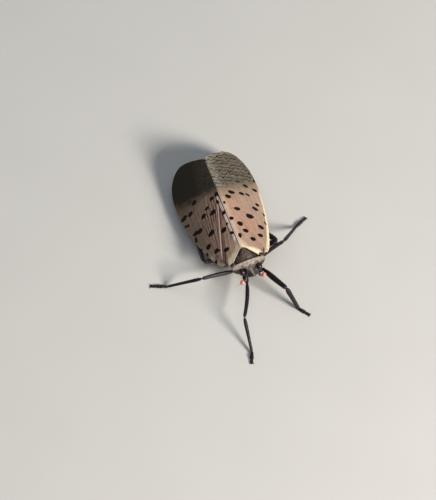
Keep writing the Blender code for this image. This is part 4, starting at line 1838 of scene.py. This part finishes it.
def toward(start: Sequence[float], end: Sequence[float], distance: float) -> Array:
    """The point at a distance from start on the way to end, before start where it is negative."""
    return np.array(start) + unit(np.array(end) - np.array(start)) * distance


@dataclass
class Leg:
    """One leg: coxa, trochanter, thigh, ridged shin with spurs, three-jointed foot, claws and hairs.

    A profile is a segment's radius at evenly spaced places, for the thigh, the shin and the foot's joints as
    a share of that part's own radius.
    """

    stance: Stance
    sides: int = 36
    coxa_profile: Floats = (0.42, 0.44, 0.4, 0.3)
    trochanter_profile: Floats = (0.22, 0.27, 0.24, 0.18)
    thigh_radius: float = 0.3
    thigh_profile: Floats = (0.62, 0.9, 1.0, 1.0, 0.96, 0.88, 0.95)
    shin_radius: float = 0.235
    shin_profile: Floats = (0.95, 1.12, 1.05, 0.98, 0.92, 0.9, 0.95)
    ankle_height: float = 0.26
    grain_relief: float = 0.006
    spur_length: float = 0.26
    crown_turns: Floats = (-2.6, -1.9, -1.25, -0.55, 0.2, 3.3)
    row_places: Floats = (0.28, 0.45, 0.62, 0.8)
    foot_radius: float = 0.23
    foot_cuts: Stations = ((0.0, 0.5), (0.47, 0.68), (0.65, 1.0))
    foot_profiles: Stations = ((0.9, 0.95, 1.15, 1.25), (0.8, 1.15, 1.3, 1.1), (0.65, 0.9, 1.0, 1.15))
    toe_height: float = 0.13
    claw_length: float = 0.4
    claw_radius: float = 0.08
    claw_spread: float = 0.85
    pad_radii: Point = (0.22, 0.23, 0.09)
    hairs: int = 620
    hair_length: float = 0.13
    hair_radius: float = 0.009

    def limb(
        self, start: Sequence[float], end: Sequence[float], profile: Sequence[float], rows: int,
        bow: Point = (0, 0, 0), edges: float = 0.0, tall: float = 1.0,
    ) -> Patch:
        """A segment of the leg: rings on a line bowed by a parabola, closer together at its round ends.

        Args:
            start: where it begins.
            end: where it ends.
            profile: its radius at evenly spaced places.
            rows: rings along it.
            bow: how far its middle stands off the line.
            edges: how far its four edges stand out, as a share of its radius.
            tall: its height for a width of 1.

        Returns:
            The closed segment, with the mark joint at its two ends.
        """
        share = 0.5 - 0.5 * np.cos(np.linspace(0, math.pi, rows))
        path = np.array(start) + np.outer(share, np.array(end) - np.array(start))
        path += np.outer(4 * share * (1 - share), bow)
        radii = through([(radius,) for radius in profile], share)[:, 0]
        radii = radii * rounded(np.abs(2 * share - 1), 12, 0.96)
        angle = ring_angles(self.sides)
        section = 1 + edges * np.cos(4 * angle) * np.sin(share * math.pi)[:, None] ** 0.4
        points = sweep(path, radii, section, tall=tall)
        ends = np.maximum(ridge(share, 0.03), 0.6 * ridge(1 - share, 0.02))[:, None] + 0 * section
        return Patch(lift(points, self.grain_relief * ripples(points, 0.3, 101)), {"joint": 0.8 * ends})

    def spur(self, root: Array, direction: Array, length: float, radius: float) -> Patch:
        """A stout spine: a cone that narrows by a power, bent down by the square of the way to its tip.

        Args:
            root: where it stands.
            direction: which way it points.
            length: its length.
            radius: its radius at the root.

        Returns:
            The closed spine.
        """
        share = np.linspace(0, 1, 9)
        path = root + np.outer(share * length, unit(direction))
        path[:, 2] -= 0.12 * length * share**2
        return Patch(sweep(path, radius * (1 - 0.88 * share**1.3), np.ones(10), up=(0.31, 0.17, 0.94)))

    def shin_spurs(self, knee: Array, ankle: Array) -> list[Patch]:
        """A crown of spurs round the shin's end, and a row along the hind shin's outer edge.

        Args:
            knee: where the shin begins.
            ankle: where it ends.

        Returns:
            The spurs.
        """
        along = unit(ankle - knee)
        side = unit(np.cross(along, (0, 0, 1)))
        top = np.cross(side, along)
        spurs = []
        for turn in self.crown_turns:
            off = math.cos(turn) * side + math.sin(turn) * top
            root = ankle - 0.06 * along + 0.15 * off
            spurs.append(self.spur(root, along + 0.45 * off, self.spur_length * 0.8, 0.04))
        if self.stance.pair is Pair.HIND:
            outer = side * np.sign(side[0]) * self.stance.side.value
            for place in self.row_places:
                root = knee + (ankle - knee) * place + 0.14 * outer
                spurs.append(self.spur(root, outer + 0.8 * along, self.spur_length, 0.055))
        return spurs

    def foot(self, ankle: Point, toe: Point) -> list[Patch]:
        """Three short joints pressed flat on the floor, two curved claws and the pad between them.

        A claw is a cone that spreads aside, arched by a sine and bent down by a square. The pad is a
        flattened globe.

        Args:
            ankle: where the shin ends.
            toe: the tip of the foot.

        Returns:
            The joints first, then the claws and the pad.
        """
        heel = np.array((*ankle[:2], self.foot_radius + 0.07))
        level_toe, level_ankle = (*toe[:2], self.toe_height), (*ankle[:2], self.toe_height)
        end = toward(level_toe, level_ankle, self.claw_length * 0.8)
        parts = []
        for (first, last), profile in zip(self.foot_cuts, self.foot_profiles):
            start, stop = (heel + (end - heel) * share for share in (first, last))
            radii = [self.foot_radius * width for width in profile]
            parts.append(self.limb(start, stop, radii, 34, tall=0.9))
        forward = unit(end - heel)
        side = unit(np.cross(forward, (0, 0, 1)))
        share = np.linspace(0, 1, 16)
        for aside in (side, -side):
            spread = np.outer(share * 0.8 * self.claw_length, forward + self.claw_spread * aside)
            path = end + 0.08 * aside + spread
            path[:, 2] += 0.07 * np.sin(share * math.pi) - 0.1 * share**2
            parts.append(Patch(sweep(path, self.claw_radius * (1 - 0.8 * share), np.ones(14))))
        sphere, _, _ = globe(20, 28)
        pad = (sphere * self.pad_radii) @ np.stack([forward, side, (0, 0, 1)])
        return [*parts, Patch(pad + end + 0.1 * forward - (0, 0, 0.04))]

    def fur(self, limbs: Sequence[Patch]) -> Needles:
        """Short hairs that lean towards the foot, set at random on the limbs.

        Args:
            limbs: what they stand on, a limb twice for twice as many.

        Returns:
            The hairs that stay above the floor.
        """
        random = np.random.default_rng(self.stance.seed)
        roots, leans = [], []
        each = self.hairs // len(limbs)
        for limb in limbs:
            rows, columns = limb.points.shape[:2]
            row = random.integers(2, rows - 3, each)
            column = random.integers(0, columns, each)
            normal = outward(limb.points)[row, column]
            forward = unit(limb.points[row + 2, column] - limb.points[row - 1, column])
            roots.append(limb.points[row, column] - 0.01 * normal)
            leans.append(normal + forward * random.uniform(0.7, 1.6, (each, 1)))
        lengths = self.hair_length * random.uniform(0.5, 1.15, each * len(limbs))
        root, lean = np.vstack(roots), unit(np.vstack(leans))
        above = np.minimum(root[:, 2], root[:, 2] + lean[:, 2] * lengths) > 0.02
        return Needles(root[above], lean[above], lengths[above], self.hair_radius)

    def build(self) -> list[Patch | Needles]:
        """All parts of the leg, with what would lie below the floor pressed flat on it.

        Returns:
            The closed parts, and the hairs last.
        """
        stance = self.stance
        ankle = (*stance.ankle[:2], self.ankle_height)
        shin_start = toward(stance.knee, ankle, 0.05)
        hinge_ends = [toward(stance.trochanter, stance.knee, distance) for distance in (-0.22, 0.42)]
        thigh_start = toward(stance.trochanter, stance.knee, 0.2)
        thigh_radii = [width * self.thigh_radius * stance.girth for width in self.thigh_profile]
        shin_radii = [width * self.shin_radius * stance.girth for width in self.shin_profile]
        coxa = self.limb(stance.hip, stance.trochanter, self.coxa_profile, 40)
        hinge = self.limb(*hinge_ends, self.trochanter_profile, 30)
        thigh = self.limb(thigh_start, stance.knee, thigh_radii, 110, stance.bow, edges=0.03, tall=1.1)
        shin = self.limb(shin_start, ankle, shin_radii, 130, edges=0.07)
        foot = self.foot(ankle, stance.toe)
        fur = self.fur([thigh, shin, shin, foot[0]])
        solid = [coxa, hinge, thigh, shin, *self.shin_spurs(shin_start, np.array(ankle)), *foot]
        for body in solid:
            body.points[..., 2] = np.maximum(body.points[..., 2], 0.0)
        return [*solid, fur]


# The room


@dataclass(frozen=True)
class Lamp:
    """A soft square lamp that hangs in one direction from the insect and faces it. Sizes are in metres."""

    name: str
    toward: Point
    distance: float
    size: float
    watts: float
    tint: Colour

    def hang(self) -> None:
        """Puts the lamp into the scene."""
        data = bpy.data.lights.new(self.name, "AREA")
        data.size = self.size
        data.energy = self.watts
        data.color = linear(self.tint)[:3]
        lamp = bpy.data.objects.new(self.name, data)
        direction = Vector(self.toward).normalized()
        lamp.location = direction * self.distance
        lamp.rotation_euler = direction.to_track_quat("Z", "Y").to_euler()
        bpy.context.scene.collection.objects.link(lamp)


@dataclass
class Studio:
    """A pale floor, soft lights and the camera that looks down on the insect from its front left.

    The lamps are a key from the insect's front left, a wide fill from above and a weak rim from behind.
    """

    effects: Effects
    lamps: tuple[Lamp, ...] = (
        Lamp("key_softbox", (0.5, -0.8, 0.55), 0.5, 0.14, 4.2, (255, 247, 236)),
        Lamp("top_softbox", (0.1, 0.0, 1.0), 0.6, 0.5, 0.75, (240, 246, 255)),
        Lamp("rear_softbox", (-0.5, 0.8, 0.5), 0.6, 0.4, 0.3, (236, 242, 255)),
    )
    air: Colour = (226, 232, 240)
    air_strength: float = 0.17
    floor_half: float = 900.0
    azimuth: float = math.radians(-13)
    elevation: float = math.radians(60)
    roll: float = math.radians(-7)
    distance: float = 330.0
    look_at: Point = (0.0, 0.0, 7.0)
    aside: float = -3.394
    below: float = -1.015
    lens: float = 156.8

    def floor(self) -> None:
        """A wide round floor whose upper face is at Z = 0: a low slab with three rings on each side."""
        radii = np.array([0.02, 0.3, 1.0, 1.0, 0.3, 0.02])[:, None] * self.floor_half
        depth = np.array([0.0, 0.0, 0.0, 1.0, 1.0, 1.0])[:, None]
        angle = ring_angles(64)
        points = np.stack([radii * np.cos(angle), radii * np.sin(angle), 0 * angle - depth], -1)
        mesh = make_mesh("studio_floor", [Patch(points)], ())
        finish = StudioFloor("studio_floor", roughness=0.8, specular=0.2)
        mesh.materials.append(finish.make(self.effects))
        floor = bpy.data.objects.new("studio_floor", mesh)
        bpy.context.scene.collection.objects.link(floor)

    def light(self) -> None:
        """Hangs the lamps and lights the air evenly and softly."""
        for lamp in self.lamps:
            lamp.hang()
        world = bpy.data.worlds.new("studio_air")
        bpy.context.scene.world = world
        world.use_nodes = True
        background = world.node_tree.nodes["Background"]
        background.inputs["Color"].default_value = linear(self.air)
        background.inputs["Strength"].default_value = self.air_strength

    def camera(self) -> None:
        """The camera, rolled a little about its own axis, its aim a little beside and below look_at."""
        a, e, r = self.azimuth, self.elevation, self.roll
        back = Vector((math.sin(a) * math.cos(e), -math.cos(a) * math.cos(e), math.sin(e)))
        level = Vector((math.cos(a), math.sin(a), 0))
        rise = back.cross(level)
        right = level * math.cos(r) + rise * math.sin(r)
        up = rise * math.cos(r) - level * math.sin(r)
        settled = Vector(settle(np.array(self.look_at)))
        aim = settled + right * self.aside + up * self.below
        data = bpy.data.cameras.new("photo_camera")
        data.lens = self.lens
        data.clip_start = 0.01
        camera = bpy.data.objects.new("photo_camera", data)
        place = (aim + back * self.distance) * MM
        turned = Matrix((right, up, back)).transposed().to_4x4()
        camera.matrix_world = Matrix.Translation(place) @ turned
        bpy.context.scene.collection.objects.link(camera)
        bpy.context.scene.camera = camera

    def build(self) -> None:
        """Floor, lights and camera."""
        self.floor()
        self.light()
        self.camera()
        bpy.context.scene.view_settings.view_transform = "Standard"


@dataclass
class Lanternfly:
    """The whole insect, built piece by piece in the workshop."""

    shop: Workshop

    def wings(self) -> None:
        """The two forewings, the left one over the right at the ridge, and the hindwings under them."""
        left = Forewing(
            Side.LEFT, LEFT_SPOTS, inner_margin=-0.2, set_back=0.42, suture_tint=0.05, rim_tint=0.6
        )
        # The right forewing, which faces away from the key light, carries a painted shade
        right = Forewing(
            Side.RIGHT, RIGHT_SPOTS, inner_margin=0.06, tuck=0.16, set_back=0.34, suture_height=0.07,
            suture_tint=0.45, vein_tint=0.6, streak_tint=1.0, hem_reach=0.3, dusk=0.14, cream_edge=0.3,
            strip=1.2, welt=1.0,
        )
        for wing in (left, right):
            made = wing.build()
            self.shop.add(f"forewing_{wing.side.word}", "forewing", [made], [f"tegmen_{wing.side.letter}"])
        for side in Side:
            made = Hindwing(side).build()
            self.shop.add(f"hindwing_{side.word}", "hindwing", [made], [f"hindwing_{side.letter}"])

    def forebody(self) -> None:
        """Head, eyes, antennae, beak, pronotum and shield, all turned a little aside."""

        def turned(*bodies: Patch) -> list[Patch]:
            """The same bodies after the forebody's turn."""
            return [Patch(turn_forebody(body.points), body.marks) for body in bodies]

        self.shop.add("head_capsule", "face", turned(Head().build()), ["head"])
        self.shop.add("beak", "underside", turned(Beak().build()), ["rostrum"])
        self.shop.add("pronotum", "pronotum", turned(Pronotum().build()), ["prothorax"])
        self.shop.add("shield", "mesonotum", turned(Shield().build()), ["mesonotum"])
        for side in Side:
            self.shop.add(f"eye_{side.word}", "eye", turned(Eye(side).build()), [f"eye_{side.letter}"])
            made = turned(*Antenna(side).build())
            self.shop.add(f"antenna_{side.word}", "antenna", made, [f"antenna_{side.letter}"])
            self.shop.add(f"tegula_{side.word}", "pronotum", turned(Tegula(side).build()))

    def trunk(self) -> None:
        """Thorax and abdomen."""
        self.shop.add("thorax", "underside", [Trunk().build()], ["mesothorax", "metathorax"])
        self.shop.add("abdomen_skin", "abdomen", [Abdomen().build()], ["abdomen"])

    def legs(self) -> None:
        """The six legs."""
        for stance in STANCES:
            tail = f"{stance.pair.value}_{stance.side.letter}"
            solids = [f"{part}_{tail}" for part in ("coxa", "femur", "tibia", "tarsus")]
            self.shop.add(f"leg_{stance.pair.value}_{stance.side.word}", "leg", Leg(stance).build(), solids)

    def build(self) -> None:
        """Every piece in order."""
        self.wings()
        self.forebody()
        self.trunk()
        self.legs()


def main() -> None:
    """Builds the studio and the insect."""
    logging.basicConfig(level=logging.INFO, format="%(name)s: %(message)s")
    shop = Workshop()
    Studio(shop.effects).build()
    Lanternfly(shop).build()


if __name__ == "__main__":
    main()
